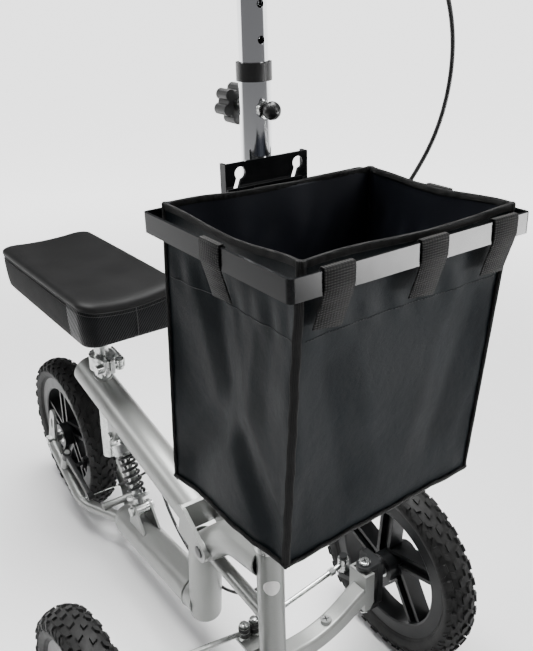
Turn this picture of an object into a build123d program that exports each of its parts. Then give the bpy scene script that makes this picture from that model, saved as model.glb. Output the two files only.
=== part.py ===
"""All-terrain knee scooter: three pneumatic wheels, sprung knee arm, steering column and basket.

Millimetres, +X forward, +Y to the rider's left, +Z up. The parts are drawn with the origin on
the ground midway between the front wheels, then moved forward by CENTRE_SHIFT so that the
origin is under the middle of the whole scooter. Every node is written to parts/NODE.step.
"""
from build123d import *
import math
import os

os.makedirs("parts", exist_ok=True)

# ---- driving dimensions -------------------------------------------------------------------
WHEEL_R = 158.0  # 12 1/2 inch pneumatic tyre
TYRE_HALF = 28.5
RIM_R = 119.5
RIM_HALF = 18.5
HUB_HALF = 30.0
AXLE_R = 6.0
RUN = 0.05  # radial running clearance of every shaft in its bore
GAP = 0.4  # clearance between the faces of two moving bodies
TRACK_HALF = 254.0
WHEELBASE = 684.0
CENTRE_SHIFT = 281.6

COLUMN_X = 22.0
COLUMN_R = 16.5
INNER_R = 14.85
COLUMN_TOP = 931.0
PIN_Z = 895.0
HOLE_PITCH = 33.0

BEAM_X = 21.0
BEAM_DEEP = 30.0
BEAM_HIGH = 26.0
BEAM_Z = 120.0
BEAM_BEND_Y = 50.0
BEAM_BEND_R = 163.0
BEAM_TURN = 30.0
KINGPIN_X, KINGPIN_Y = 18.0, 174.0
HOUSING_R = 11.0
HOUSING_Z = (132.0, 198.0)
CHANNEL_HALF, CHANNEL_WALL = 18.0, 4.0
CHANNEL_Y = (160.0, 178.0)
EAR_HIGH = 9.0
LINK_BACK = 60.0  # pitman arm and knuckle arms have the same length, so the links stay parallel
LINK_OUT = 9.0

TUBE_R = 29.5
TUBE_WALL = 2.5
FRONT_TUBE_R = 25.2
POST_R = 26.2
HEAD_R = 18.9
HEAD_Z = (133.0, 330.0)

PIVOT = Vector(-116, 0, 243)
PIVOT_R = 8.0
CLEVIS_IN, CLEVIS_OUT = 27.0, 33.0
ARM_FRONT = Vector(-170, 0, 269.5)
ARM_REAR = Vector(-552, 0, 356.5)
BEAM_FRONT = Vector(-168, 0, 94.5)
BEAM_REAR = Vector(-440, 0, 82.5)
SHOCK_LOW = Vector(-384, 0, 144)
SHOCK_TOP = Vector(-444, 0, 272)

SEAT_AXIS = Vector(math.sin(math.radians(5)), 0, math.cos(math.radians(5)))
SEAT_AT = Vector(-490, 0, 344)  # where the seat post's axis crosses the knee arm's
SEAT_POST_R = 12.7
SLEEVE_R = 15.0
PAD_X = (-766.0, -372.0)
PAD_Y = (-68.0, 110.0)  # the pad sits off-centre, so that the rider's other leg has room
PAD_Z = (478.0, 552.0)

BRAKE_PIVOT = Vector(-605, 50, 160)  # left brake arm; the right one is its mirror image
BRAKE_END = Vector(-518, 45, 111)

CROSS_R, CROSS_Z = 70.0, 424.0  # where the brake cable passes from the frame to the handlebar

BASKET_X = (43.0, 277.0)
BASKET_Y = (-147.5, 125.5)
BASKET_Z = (798.0, 818.0)
STRIP = 3.0
KEYHOLE_Y = (-34.0, 39.0)
STUD_SHIFT, STUD_Z = 8.0, 815.0  # a slot runs this far to the right of its entry, down to the stud
BAG_TOP_Z, BAG_LOW_Z = 826.0, 515.0

BAR_Z = 1082.0
BAR_R = 11.1
GRIP_R = 16.0


# ---- helpers ------------------------------------------------------------------------------
def rod(start, end, radius, bore=0.0):
    """A round bar, or a tube when bore is given, between two points."""
    start, end = Vector(*start), Vector(*end)
    axis = end - start
    plane = Plane(origin=start, z_dir=axis)
    bar = extrude(plane * Circle(radius), axis.length)
    if bore:
        bar -= extrude(plane * Circle(bore), axis.length)
    return bar


def block(x, y, z):
    """A box given by its (low, high) pair along each axis."""
    size = [high - low for low, high in (x, y, z)]
    centre = [(high + low) / 2 for low, high in (x, y, z)]
    return Pos(*centre) * Box(*size)


def pipe(points, bends, radius, bore=0.0):
    """A bent tube: straight runs joined by tangent arcs of the given radii."""
    path = FilletPolyline(*points, radius=bends)
    start = Plane(origin=path @ 0, z_dir=path % 0)
    tube = sweep(start * Circle(radius), path=path)
    if bore:
        tube -= sweep(start * Circle(bore), path=path)
    return tube


def hull_of(circles):
    """The sketch outlined by a string pulled tight round circles given as (x, y, radius)."""
    return make_hull([edge for x, y, r in circles for edge in (Pos(x, y) * Circle(r)).edges()])


def hull_plate(circles, y_low, y_high):
    """A plate parallel to the X-Z plane whose outline wraps round the circles (x, z, radius)."""
    plane = Plane(origin=(0, y_low, 0), x_dir=(1, 0, 0), z_dir=(0, -1, 0))
    plate = extrude(plane * hull_of(circles), amount=y_high - y_low)
    return Pos(0, y_high - y_low, 0) * plate


def mirrored(solid):
    return mirror(solid, about=Plane.XZ)


def only_solid(shape):
    """The largest solid of a shape, for a tube whose coped end leaves scraps."""
    return max(shape.solids(), key=lambda s: s.volume)


def shock_axis():
    return (SHOCK_TOP - SHOCK_LOW).normalized()


def arm_axis():
    return (ARM_REAR - ARM_FRONT).normalized()


def seat_point(along):
    """A point on the seat post's axis, measured up from the knee arm's axis."""
    return SEAT_AT + SEAT_AXIS * along


# ---- wheels -------------------------------------------------------------------------------
def ring(profile):
    """Turns an outline of (radius, y) points into a ring about the Y axis."""
    outline = [Vector(r, y, 0) for r, y in profile]
    return revolve(make_face(Polyline(*outline, close=True)), Axis.Y)


def tyre():
    half = [(102, 8), (102, 15), (119.5, 15.4), (126, 23), (136, TYRE_HALF), (146, 26.5), (154, 19)]
    half += [(WHEEL_R, 11)]
    inner = [(153, 8), (145, 19), (136, 22.5), (126, 19), (118, 10.5), (106, 8)]
    outline = half + [(r, -y) for r, y in reversed(half)] + [(r, -y) for r, y in reversed(inner)]
    return ring(outline + inner)


def spoke(angle):
    """One channel-shaped spoke, set to one side of the hub's centre so that the five swirl."""
    lean, rib_gap, long = 15.0, 11.0, 98.0
    web = block((0, long), (-4, 4), (lean - rib_gap, lean + rib_gap))
    low_rib = block((0, long), (-13, 13), (lean - rib_gap - 3, lean - rib_gap + 3))
    top_rib = block((0, long), (-13, 13), (lean + rib_gap - 3, lean + rib_gap + 3))
    return Rot(0, angle, 0) * (web + low_rib + top_rib)


def rim():
    half = [(97, 17), (100, RIM_HALF), (RIM_R, RIM_HALF), (RIM_R, 15.5), (101.5, 15.5)]
    barrel = ring(half + [(r, -y) for r, y in reversed(half)])
    spokes = [spoke(72 * i - 13) for i in range(5)]
    between = rod((0, -14, 0), (0, 14, 0), 98.5, 20)
    spokes = [s & between for s in spokes]
    hub = rod((0, -HUB_HALF, 0), (0, HUB_HALF, 0), 24)
    wheel = barrel + hub + spokes
    wheel -= rod((0, -HUB_HALF, 0), (0, HUB_HALF, 0), 10)
    for side in (-1, 1):
        seat = rod((0, side * (HUB_HALF - 8), 0), (0, side * HUB_HALF, 0), 14)
        wheel -= seat
    return wheel


def bearings():
    """Two sealed ball bearings in the hub's ends."""
    race = rod((0, HUB_HALF - 8, 0), (0, HUB_HALF, 0), 14, AXLE_R + RUN)
    return [race, mirrored(race)]


def wheel_parts(prefix, centre):
    place = Pos(*centre)
    return {
        prefix + "_tyre": place * tyre(),
        prefix + "_rim": place * rim(),
        prefix + "_bearings": [place * b for b in bearings()],
    }


# ---- frame --------------------------------------------------------------------------------
def post_ends():
    """The main post leans a little forward; its foot is level with the lower beam's underside."""
    return Vector(-171, 0, 66), Vector(-153.3, 0, 228)


def front_tube_path():
    return [Vector(-154, 0, 212), Vector(-72, 0, 288), Vector(COLUMN_X, 0, 302)]


def front_tube_solid(radius):
    return pipe(front_tube_path(), 110, radius)


def front_tube():
    """Arched main tube from the post to the head tube, with the pivot's cross tube welded in."""
    tube = front_tube_solid(FRONT_TUBE_R) - front_tube_solid(FRONT_TUBE_R - TUBE_WALL)
    tube -= block((COLUMN_X - 8, 60), (-40, 40), (200, 400))
    tube -= rod((COLUMN_X, 0, 200), (COLUMN_X, 0, 400), HEAD_R)
    end = CLEVIS_IN - GAP
    boss = rod(PIVOT + Vector(0, -end, 0), PIVOT + Vector(0, end, 0), 15)
    tube = only_solid(tube) + boss
    return tube - rod(PIVOT + Vector(0, -end, 0), PIVOT + Vector(0, end, 0), PIVOT_R + RUN)


def main_post():
    foot, top = post_ends()
    post = rod(foot, top, POST_R)
    foot_edge = post.edges().filter_by(GeomType.CIRCLE).sort_by(Axis.Z)[0]
    post = fillet(foot_edge, 9)
    up = (top - foot).normalized()
    post -= rod(foot + up * 4, top, POST_R - TUBE_WALL)
    return only_solid(post - front_tube_solid(FRONT_TUBE_R))


def lower_beam():
    """Round beam under the knee arm; its rear end narrows to where the fork's tubes meet it."""
    back = (BEAM_REAR - BEAM_FRONT).normalized()
    beam = rod(BEAM_FRONT, BEAM_REAR, TUBE_R)
    plane = Plane(origin=BEAM_REAR, z_dir=back)
    nose = loft([plane * Circle(TUBE_R), plane.offset(16) * Circle(25), plane.offset(30) * Circle(15)])
    beam = beam + nose - rod(BEAM_FRONT, BEAM_REAR, TUBE_R - TUBE_WALL)
    foot, top = post_ends()
    return only_solid(beam - rod(foot - (top - foot) * 0.2, top, POST_R))


def fork_path():
    return [Vector(-676, 50, 152), Vector(-560, 47, 72), Vector(-452, 8, 80)]


def dropout():
    """Slotted plate that holds the axle, with a long ear above it."""
    axle_x, axle_z = -WHEELBASE, WHEEL_R
    plate = hull_plate([(axle_x, axle_z, 15), (-655, 136, 10)], 44, 50)
    plate += hull_plate([(axle_x, axle_z, 15), (-659, 226, 10)], 44, 50)
    slot = hull_plate([(-664, 212, 3.5), (-670, 194, 3.5)], 43, 51)
    return plate - slot - rod((axle_x, 43, axle_z), (axle_x, 51, axle_z), AXLE_R)


def brake_boss():
    """Stub on the fork tube that the brake arm turns on."""
    along = brake_axis()
    return rod(BRAKE_PIVOT - along * 40, BRAKE_PIVOT - along * (9 + GAP), 9)


def rear_yoke():
    """Fork of two bent tubes, dropouts, brake bosses and the bridge in front of the tyre."""
    side = pipe(fork_path(), 70, 11) + dropout() + brake_boss()
    side += rod(BRAKE_PIVOT - brake_axis() * 12, BRAKE_PIVOT + brake_axis() * 12, 5)
    bridge = rod((-496, -30, 92), (-496, 30, 92), 7)
    yoke = side + mirrored(side) + bridge
    back = (BEAM_REAR - BEAM_FRONT).normalized()
    plane = Plane(origin=BEAM_REAR, z_dir=back)
    nose = loft([plane * Circle(TUBE_R), plane.offset(16) * Circle(25), plane.offset(30) * Circle(15)])
    return yoke - nose - rod(BEAM_FRONT, BEAM_REAR, TUBE_R)


def brace_tube():
    brace = rod((-140, 0, 212), (COLUMN_X, 0, 198), 11, 9)
    foot, top = post_ends()
    brace -= rod(foot, top, POST_R)
    brace -= rod((COLUMN_X, 0, 100), (COLUMN_X, 0, 400), HEAD_R)
    return only_solid(brace - front_tube_solid(FRONT_TUBE_R))


def head_tube():
    return rod((COLUMN_X, 0, HEAD_Z[0]), (COLUMN_X, 0, HEAD_Z[1]), HEAD_R, HEAD_R - 2)


def headset_cups():
    """Bearing cups pressed into both ends of the head tube."""
    bore = 12.7 + RUN
    low, high = HEAD_Z
    top = rod((COLUMN_X, 0, high - 14), (COLUMN_X, 0, high), HEAD_R - 2, bore)
    top += rod((COLUMN_X, 0, high), (COLUMN_X, 0, high + 7), 21, bore)
    bottom = rod((COLUMN_X, 0, low), (COLUMN_X, 0, low + 14), HEAD_R - 2, bore)
    return [top, bottom]


def beam_half(deep, high):
    """Half of the front beam: level in the middle, then an arc and a straight rise to the kingpin."""
    start = Vector(BEAM_X, -1, BEAM_Z)
    bend = Vector(BEAM_X, BEAM_BEND_Y, BEAM_Z)
    arc_plane = Plane(origin=bend + Vector(0, 0, BEAM_BEND_R), x_dir=(0, 1, 0), z_dir=(1, 0, 0))
    arc = (arc_plane * CenterArc((0, 0), BEAM_BEND_R, -90, BEAM_TURN)).edges()[0]
    rise = Edge.make_line(arc @ 1, (arc @ 1) + (arc % 1) * 60)
    path = Wire([Edge.make_line(start, bend), arc, rise])
    section = Plane(origin=start, x_dir=(1, 0, 0), z_dir=(0, 1, 0)) * RectangleRounded(deep, high, 5)
    return sweep(section, path=path)


def axle_beam():
    beam = beam_half(BEAM_DEEP, BEAM_HIGH)
    beam = beam + mirrored(beam)
    beam &= block((-50, 100), (-CHANNEL_Y[0], CHANNEL_Y[0]), (50, 300))
    return only_solid(beam - rod((COLUMN_X, 0, 50), (COLUMN_X, 0, 200), 13.5))


def kingpin_bracket():
    """Left end of the beam: a channel that opens outwards, with the kingpin's tube inside it."""
    low, high = HOUSING_Z
    near, far = CHANNEL_Y
    outline = [(near, low), (far - 7, low), (far, low + 10), (far, high), (near, high)]
    side = make_face(Polyline(*[Vector(KINGPIN_X - CHANNEL_HALF, y, z) for y, z in outline], close=True))
    channel = extrude(side, amount=2 * CHANNEL_HALF, dir=(1, 0, 0))
    inside = CHANNEL_HALF - CHANNEL_WALL
    channel -= block((KINGPIN_X - inside, KINGPIN_X + inside), (near + CHANNEL_WALL, far + 1), (0, 300))
    channel = channel + rod((KINGPIN_X, KINGPIN_Y, low), (KINGPIN_X, KINGPIN_Y, high), HOUSING_R)
    return channel - rod((KINGPIN_X, KINGPIN_Y, low), (KINGPIN_X, KINGPIN_Y, high), 5)


def shock_bracket():
    """Two ears on the lower beam that hold the shock's lower eye."""
    ears = []
    for low, high in ((13, 17), (-17, -13)):
        ear = hull_plate([(SHOCK_LOW.X, SHOCK_LOW.Z, 12), (-354, 112, 5), (-400, 108, 5)], low, high)
        ear -= rod((SHOCK_LOW.X, low - 1, SHOCK_LOW.Z), (SHOCK_LOW.X, high + 1, SHOCK_LOW.Z), 5)
        ears.append(only_solid(ear - rod(BEAM_FRONT, BEAM_REAR, TUBE_R)))
    return ears


def rear_axle():
    """Through axle with its spacers and nuts."""
    x, z = -WHEELBASE, WHEEL_R
    axle = rod((x, -60, z), (x, 60, z), AXLE_R)
    for side in (-1, 1):
        axle += rod((x, side * (HUB_HALF + GAP), z), (x, side * 44, z), 9)
        nut_plane = Plane(origin=(x, side * 50, z), z_dir=(0, side, 0))
        axle += extrude(nut_plane * RegularPolygon(10, 6), 8)
    return axle


def frame_bolts():
    """Bolt through the shock's lower eye, and the two cross-head screws on the front beam."""
    x, z = SHOCK_LOW.X, SHOCK_LOW.Z
    bolt = rod((x, -17, z), (x, 17, z), 5)
    bolt += rod((x, -22, z), (x, -17, z), 8)
    bolt += rod((x, 17, z), (x, 22, z), 8)
    screws = []
    for side in (-1, 1):
        y = side * 97
        top = BEAM_Z + BEAM_BEND_R - math.sqrt((BEAM_BEND_R - BEAM_HIGH / 2) ** 2 - (97 - BEAM_BEND_Y) ** 2)
        screw = rod((BEAM_X, y, top - 4), (BEAM_X, y, top + 5), 8)
        beam = beam_half(BEAM_DEEP, BEAM_HIGH)
        screws.append(screw - beam - mirrored(beam))
    return [bolt] + [only_solid(s) for s in screws]


# ---- brake --------------------------------------------------------------------------------
def brake_line():
    """Unit vector from the brake arm's pivot to its free end, in the X-Z plane."""
    line = BRAKE_END - BRAKE_PIVOT
    return Vector(line.X, 0, line.Z).normalized()


def brake_axis():
    """Direction of the brake arm's pivot, square to the arm and pointing up."""
    line = brake_line()
    return Vector(-line.Z, 0, line.X)


def brake_arm():
    """Left arm: an eye on the boss, a tapered blade, and a pad that faces the rim."""
    line, axis = brake_line(), brake_axis()
    eye = rod(BRAKE_PIVOT - axis * 9, BRAKE_PIVOT + axis * 9, 9)
    end = Vector(BRAKE_END.X, BRAKE_END.Y, BRAKE_END.Z)
    root = Plane(origin=BRAKE_PIVOT, x_dir=axis, z_dir=end - BRAKE_PIVOT)
    blade = loft([root * RectangleRounded(16, 9, 2), root.offset((end - BRAKE_PIVOT).length)
                  * RectangleRounded(12, 8, 2)])
    tip = rod(end + Vector(0, -6, 0), end + Vector(0, 6, 0), 8)
    pad_at = BRAKE_PIVOT + line * 28
    holder = rod((pad_at.X, 28, pad_at.Z), (pad_at.X, 50, pad_at.Z), 4)
    pad_plane = Plane(origin=(pad_at.X, RIM_HALF + 1.3, pad_at.Z), x_dir=axis, z_dir=(0, 1, 0))
    pad = extrude(pad_plane * RectangleRounded(34, 9, 3), 10)
    arm = eye + blade + tip + holder + pad
    arm -= rod(BRAKE_PIVOT - axis * 20, BRAKE_PIVOT + axis * 20, 5 + RUN)
    return arm - rod(end + Vector(0, -20, 0), end + Vector(0, 20, 0), 3.4)


def around_column(radius, z):
    """A point beside the column, on the radius where the cable crosses from frame to column."""
    angle = math.radians(130)
    return Vector(COLUMN_X + radius * math.cos(angle), radius * math.sin(angle), z)


def cable_low_route():
    """Brake cable from the left brake arm, along the beam's left side and up beside the column."""
    return [
        Vector(-518, 14, 111), Vector(-518, 58, 111), Vector(-505, 84, 128), Vector(-462, 74, 158),
        Vector(-415, 52, 166), Vector(-362, 41, 136), Vector(-308, 39, 100), Vector(-246, 38, 84),
        Vector(-184, 36, 90), Vector(-128, 33, 118), Vector(-78, 31, 158), Vector(-36, 31, 206),
        Vector(-12, 30, 262), around_column(36, 318), around_column(34, 372),
        around_column(31, CROSS_Z - 6), around_column(CROSS_R, CROSS_Z),
    ]


def cable_high_route():
    """The same cable from beside the column, out past the basket and up to the brake lever."""
    return [
        around_column(CROSS_R + GAP, CROSS_Z), around_column(CROSS_R + 45, CROSS_Z + 12),
        around_column(CROSS_R + 49, CROSS_Z + 60), Vector(-40, 86, 545), Vector(-30, 92, 592),
        Vector(-14, 112, 646), Vector(6, 142, 694), Vector(26, 176, 740),
        Vector(44, 206, 788), Vector(58, 230, 842), Vector(64, 242, 902), Vector(66, 238, 962),
        Vector(66, 214, 1018), Vector(64, 168, 1058), Vector(60, 110, 1080), Vector(56, 50, 1086),
        Vector(52, -10, 1084), Vector(50, -60, 1083), Vector(50, -104, 1083),
    ]


def cord(route, radius):
    """A cord's tube: straight runs joined by tangent arcs as large as the runs allow."""
    bends = []
    for before, at, after in zip(route, route[1:], route[2:]):
        first, second = at - before, after - at
        turn = math.radians(first.get_angle(second))
        bends.append(0.45 * min(first.length, second.length) / math.tan(turn / 2))
    path = FilletPolyline(*route, radius=bends)
    tube = sweep(Plane(origin=path @ 0, z_dir=path % 0) * Circle(radius), path=path)
    print("cord", round(path.length, 1), "tightest", round(min(bends), 1),
          "volume ratio", round(tube.volume / (math.pi * radius**2 * path.length), 4))
    return tube


def brake_cable_low():
    """Housing, and the bare wire that crosses in front of the tyre to the right brake arm."""
    wire = rod((-518, -62, 111), (-518, 14, 111), 0.9)
    return [cord(cable_low_route(), 2.6), wire]


# ---- knee arm -----------------------------------------------------------------------------
def sleeve_solid(radius):
    return rod(seat_point(-36), seat_point(74), radius)


def knee_arm():
    back = arm_axis()
    arm = rod(ARM_FRONT, ARM_REAR, TUBE_R)
    arm -= rod(ARM_FRONT, ARM_REAR - back * 3, TUBE_R - TUBE_WALL)
    arm -= rod(seat_point(-60), seat_point(90), SLEEVE_R)
    return only_solid(arm)


def arm_clevis():
    """Bent plate welded to the arm's front end: a web and two ears that carry the pivot pin."""
    forward = arm_axis() * -1
    centre = ARM_FRONT + forward * 3
    web_plane = Plane(origin=ARM_FRONT, x_dir=(0, 1, 0), z_dir=forward)
    clevis = extrude(web_plane * RectangleRounded(2 * CLEVIS_OUT, 58, 3), 6)
    low = centre + Vector(forward.Z, 0, -forward.X) * 14
    high = centre - Vector(forward.Z, 0, -forward.X) * 14
    for near, far in ((CLEVIS_IN, CLEVIS_OUT), (-CLEVIS_OUT, -CLEVIS_IN)):
        clevis += hull_plate([(low.X, low.Z, 14), (high.X, high.Z, 14), (PIVOT.X, PIVOT.Z, 17)], near, far)
    clevis -= rod(ARM_FRONT, ARM_REAR, TUBE_R + 10)
    clevis -= rod(PIVOT + Vector(0, -40, 0), PIVOT + Vector(0, 40, 0), PIVOT_R)
    return only_solid(clevis)


def pivot_pin():
    return rod(PIVOT + Vector(0, -34, 0), PIVOT + Vector(0, 34, 0), PIVOT_R)


def seat_sleeve():
    """Tube through the knee arm that holds the seat post, slit at the top so it can be clamped."""
    sleeve = sleeve_solid(SLEEVE_R) - rod(seat_point(-60), seat_point(90), SEAT_POST_R + RUN)
    slit = Plane(origin=seat_point(58), x_dir=(0, 1, 0), z_dir=SEAT_AXIS)
    return sleeve - extrude(slit * Pos(0, -10) * Rectangle(2.5, 20), 20)


def clamp_frame():
    """Plane of the clamp's lower face: local X points forward, local Y to the left."""
    return Plane(origin=seat_point(46), x_dir=(SEAT_AXIS.Z, 0, -SEAT_AXIS.X), z_dir=SEAT_AXIS)


def seat_clamp():
    plane = clamp_frame()
    collar = extrude(plane * Circle(22), 26)
    collar += extrude(plane * Pos(24, 0) * RectangleRounded(20, 22, 3), 26)
    collar -= extrude(plane * Circle(SLEEVE_R), 26)
    collar -= extrude(plane * Pos(26, 0) * Rectangle(24, 2.5), 26)
    bore = Plane(origin=plane.from_local_coords((28, 0, 13)), z_dir=(0, 1, 0))
    return only_solid(collar - extrude(bore * Circle(3 + RUN), 40, both=True))


def clamp_bolt_centre():
    return Vector(*clamp_frame().from_local_coords((28, 0, 13)))


def lever_hinge():
    """Point where the quick-release lever turns, at the left end of its skewer."""
    return clamp_bolt_centre() + Vector(0, 20, 0)


def clamp_skewer():
    """Skewer through the clamp's lugs, with a nut on the right and an eye and pin on the left."""
    centre, hinge = clamp_bolt_centre(), lever_hinge()
    skewer = rod(centre + Vector(0, -24, 0), hinge, 3)
    skewer += rod(centre + Vector(0, -24, 0), centre + Vector(0, -11, 0), 8)
    skewer += rod(hinge - SEAT_AXIS * 3.4, hinge + SEAT_AXIS * 3.4, 6)
    return skewer + rod(hinge - SEAT_AXIS * 9, hinge + SEAT_AXIS * 9, 2.5)


def clamp_lever():
    """Quick-release lever: two cheeks on the skewer's pin and a blade that lies along the clamp."""
    hinge = lever_hinge()
    back = Vector(-SEAT_AXIS.Z, 0, SEAT_AXIS.X)
    outward = Vector(0, 1, 0)
    lever = rod(hinge - SEAT_AXIS * 9, hinge + SEAT_AXIS * 9, 7.5)
    lever -= rod(hinge - SEAT_AXIS * 3.8, hinge + SEAT_AXIS * 3.8, 8)
    root = Plane(origin=hinge + outward * 7.5, x_dir=outward, z_dir=back)
    tip = Plane(origin=hinge + outward * 10 + back * 50, x_dir=outward, z_dir=back)
    lever += loft([root * RectangleRounded(6, 18, 2), tip * RectangleRounded(5, 15, 2)])
    eye_space = rod(hinge - SEAT_AXIS * 3.8, hinge + SEAT_AXIS * 3.8, 6.5)
    return lever - eye_space - rod(hinge - SEAT_AXIS * 12, hinge + SEAT_AXIS * 12, 2.5 + RUN)


def shock_top_bracket():
    ears = []
    foot = ARM_FRONT + arm_axis() * ((SHOCK_TOP - ARM_FRONT).dot(arm_axis()))
    for low, high in ((13, 17), (-17, -13)):
        ear = hull_plate([(SHOCK_TOP.X, SHOCK_TOP.Z, 11), (foot.X - 14, foot.Z - 18, 5),
                          (foot.X + 14, foot.Z - 24, 5)], low, high)
        ear -= rod((SHOCK_TOP.X, low - 1, SHOCK_TOP.Z), (SHOCK_TOP.X, high + 1, SHOCK_TOP.Z), 4.5)
        ears.append(only_solid(ear - rod(ARM_FRONT, ARM_REAR, TUBE_R)))
    return ears


def shock_top_bolt():
    x, z = SHOCK_TOP.X, SHOCK_TOP.Z
    bolt = rod((x, -17, z), (x, 17, z), 4.5)
    for side in (-1, 1):
        bolt += rod((x, side * 17, z), (x, side * 22, z), 7.5)
    return bolt


# ---- shock absorber -----------------------------------------------------------------------
def shock_body():
    """Lower eye, damper cylinder and lower spring seat."""
    up = shock_axis()
    eye = rod(SHOCK_LOW + Vector(0, -12.6, 0), SHOCK_LOW + Vector(0, 12.6, 0), 11)
    body = eye + rod(SHOCK_LOW + up * 8, SHOCK_LOW + up * 72, 9)
    body += rod(SHOCK_LOW + up * 22, SHOCK_LOW + up * 27, 21)
    body -= rod(SHOCK_LOW + up * 19, SHOCK_LOW + up * 80, 5 + RUN)
    return body - rod(SHOCK_LOW + Vector(0, -20, 0), SHOCK_LOW + Vector(0, 20, 0), 5 + RUN)


def shock_shaft():
    """Damper rod, upper spring cup and upper eye. The eye's bore gives the open pivot its play."""
    down = shock_axis() * -1
    eye = rod(SHOCK_TOP + Vector(0, -12.6, 0), SHOCK_TOP + Vector(0, 12.6, 0), 11)
    shaft = eye + rod(SHOCK_TOP + down * 8, SHOCK_TOP + down * 90, 5)
    shaft += rod(SHOCK_TOP + down * 18, SHOCK_TOP + down * 38, 20)
    shaft -= rod(SHOCK_TOP + down * 24, SHOCK_TOP + down * 38, 17.5) - rod(
        SHOCK_TOP + down * 20, SHOCK_TOP + down * 42, 5)
    return shaft - rod(SHOCK_TOP + Vector(0, -20, 0), SHOCK_TOP + Vector(0, 20, 0), 5.2)


def shock_spring():
    start, turns, wire_r, coil_r = 30.2, 7, 2.8, 13.8
    height = 82.0
    coil = Helix(pitch=height / turns, height=height, radius=coil_r)
    wire = sweep(Plane(origin=coil @ 0, z_dir=coil % 0) * Circle(wire_r), path=coil)
    return Plane(origin=SHOCK_LOW + shock_axis() * start, z_dir=shock_axis()).location * wire


# ---- seat ---------------------------------------------------------------------------------
def seat_post():
    return rod(seat_point(-146), seat_point(124), SEAT_POST_R, SEAT_POST_R - 2)


def seat_pan():
    """Steel plate under the pad, welded to a socket that sits on the seat post."""
    socket = rod(seat_point(96), seat_point(124), SEAT_POST_R + 3, SEAT_POST_R)
    top = seat_point(124)
    pan = block((-700, -424), (PAD_Y[0] + 30, PAD_Y[1] - 30), (top.Z + 2, PAD_Z[0]))
    pan = fillet(pan.edges().filter_by(Axis.Z), 20)
    neck = rod(seat_point(124), seat_point(130), SEAT_POST_R + 3)
    return pan + (neck & block((-900, 0), (-60, 60), (400, top.Z + 4))) + socket


def knee_pad():
    pad = block(PAD_X, PAD_Y, PAD_Z)
    pad = fillet(pad.edges().filter_by(Axis.Z), 26)
    top = pad.faces().sort_by(Axis.Z)[-1].edges()
    return fillet(top, 12)


# ---- steering -----------------------------------------------------------------------------
def steering_shaft():
    """Shaft through the head tube, with the collar and plug that carry the column."""
    shaft = rod((COLUMN_X, 0, 92), (COLUMN_X, 0, 440), 12.7, 9.5)
    collar_low = HEAD_Z[1] + 7 + GAP
    shaft += rod((COLUMN_X, 0, collar_low), (COLUMN_X, 0, 348), 21, 12)
    return shaft + rod((COLUMN_X, 0, 340), (COLUMN_X, 0, 440), INNER_R, 12)


def pitman_arm():
    """Cranked plate clamped under the shaft; its raised tab carries both tie rods' studs."""
    hub = rod((COLUMN_X, 0, 94), (COLUMN_X, 0, 104), 18)
    stud_x = COLUMN_X - LINK_BACK
    low_plate = block((-15, COLUMN_X), (-15, 15), (98, 103))
    riser = block((-15, -11), (-15, 15), (98, 122))
    tab = block((stud_x - 12, -11), (-19, 19), (118, 122))
    tab = fillet(tab.edges().filter_by(Axis.Z), 3)
    arm = hub + low_plate + riser + tab
    for side in (-1, 1):
        y = side * LINK_OUT
        arm += rod((stud_x, y, 120), (stud_x, y, 148), 4)
        arm += rod((stud_x, y, 146.4), (stud_x, y, 150), 6.5)
    return arm - rod((COLUMN_X, 0, 80), (COLUMN_X, 0, 130), 12.7)


def column_tube():
    tube = rod((COLUMN_X, 0, 348), (COLUMN_X, 0, COLUMN_TOP), COLUMN_R, INNER_R + RUN)
    for direction, radius in ((1, 4.0), (-1, 4.2)):
        tube -= rod((COLUMN_X, 0, PIN_Z), (COLUMN_X + direction * 30, 0, PIN_Z), radius)
    return tube


def column_collar():
    """Plastic collar over the top of the outer column tube."""
    collar = rod((COLUMN_X, 0, 922), (COLUMN_X, 0, 940), 18.3, COLUMN_R)
    return collar + rod((COLUMN_X, 0, COLUMN_TOP), (COLUMN_X, 0, 940), 18.3, INNER_R + RUN)


def plunger_housing():
    """Threaded boss in front for the height pin, and the boss behind for the clamp screw."""
    wall = COLUMN_X + COLUMN_R - 1
    front = rod((wall - 0.5, 0, PIN_Z), (COLUMN_X + 20, 0, PIN_Z), 9, 3.7)
    back = rod((COLUMN_X - COLUMN_R + 1.5, 0, PIN_Z), (COLUMN_X - 27, 0, PIN_Z), 8, 4.1)
    tube = rod((COLUMN_X, 0, 800), (COLUMN_X, 0, COLUMN_TOP), COLUMN_R)
    return [only_solid(front - tube), only_solid(back - tube)]


def keyhole(y):
    """Round entry with a slot that slants down to the rider's right."""
    entry = Pos(y, 836) * Circle(6.5)
    slot = hull_of([(y, 836, 3), (y - STUD_SHIFT, STUD_Z, 3)])
    return entry + slot


def basket_plate():
    """Plate on the column's front with two keyholes, edges folded back."""
    face = COLUMN_X + COLUMN_R
    plate = block((face, face + 3), (-52, 52), (768, 847))
    for side in (-1, 1):
        y = sorted((side * 49, side * 52))
        plate += block((face - 7, face), y, (768, 847))
    plane = Plane(origin=(face - 2, 0, 0), x_dir=(0, 1, 0), z_dir=(1, 0, 0))
    for y in KEYHOLE_Y:
        plate -= extrude(plane * keyhole(y), 8)
    return plate


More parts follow.
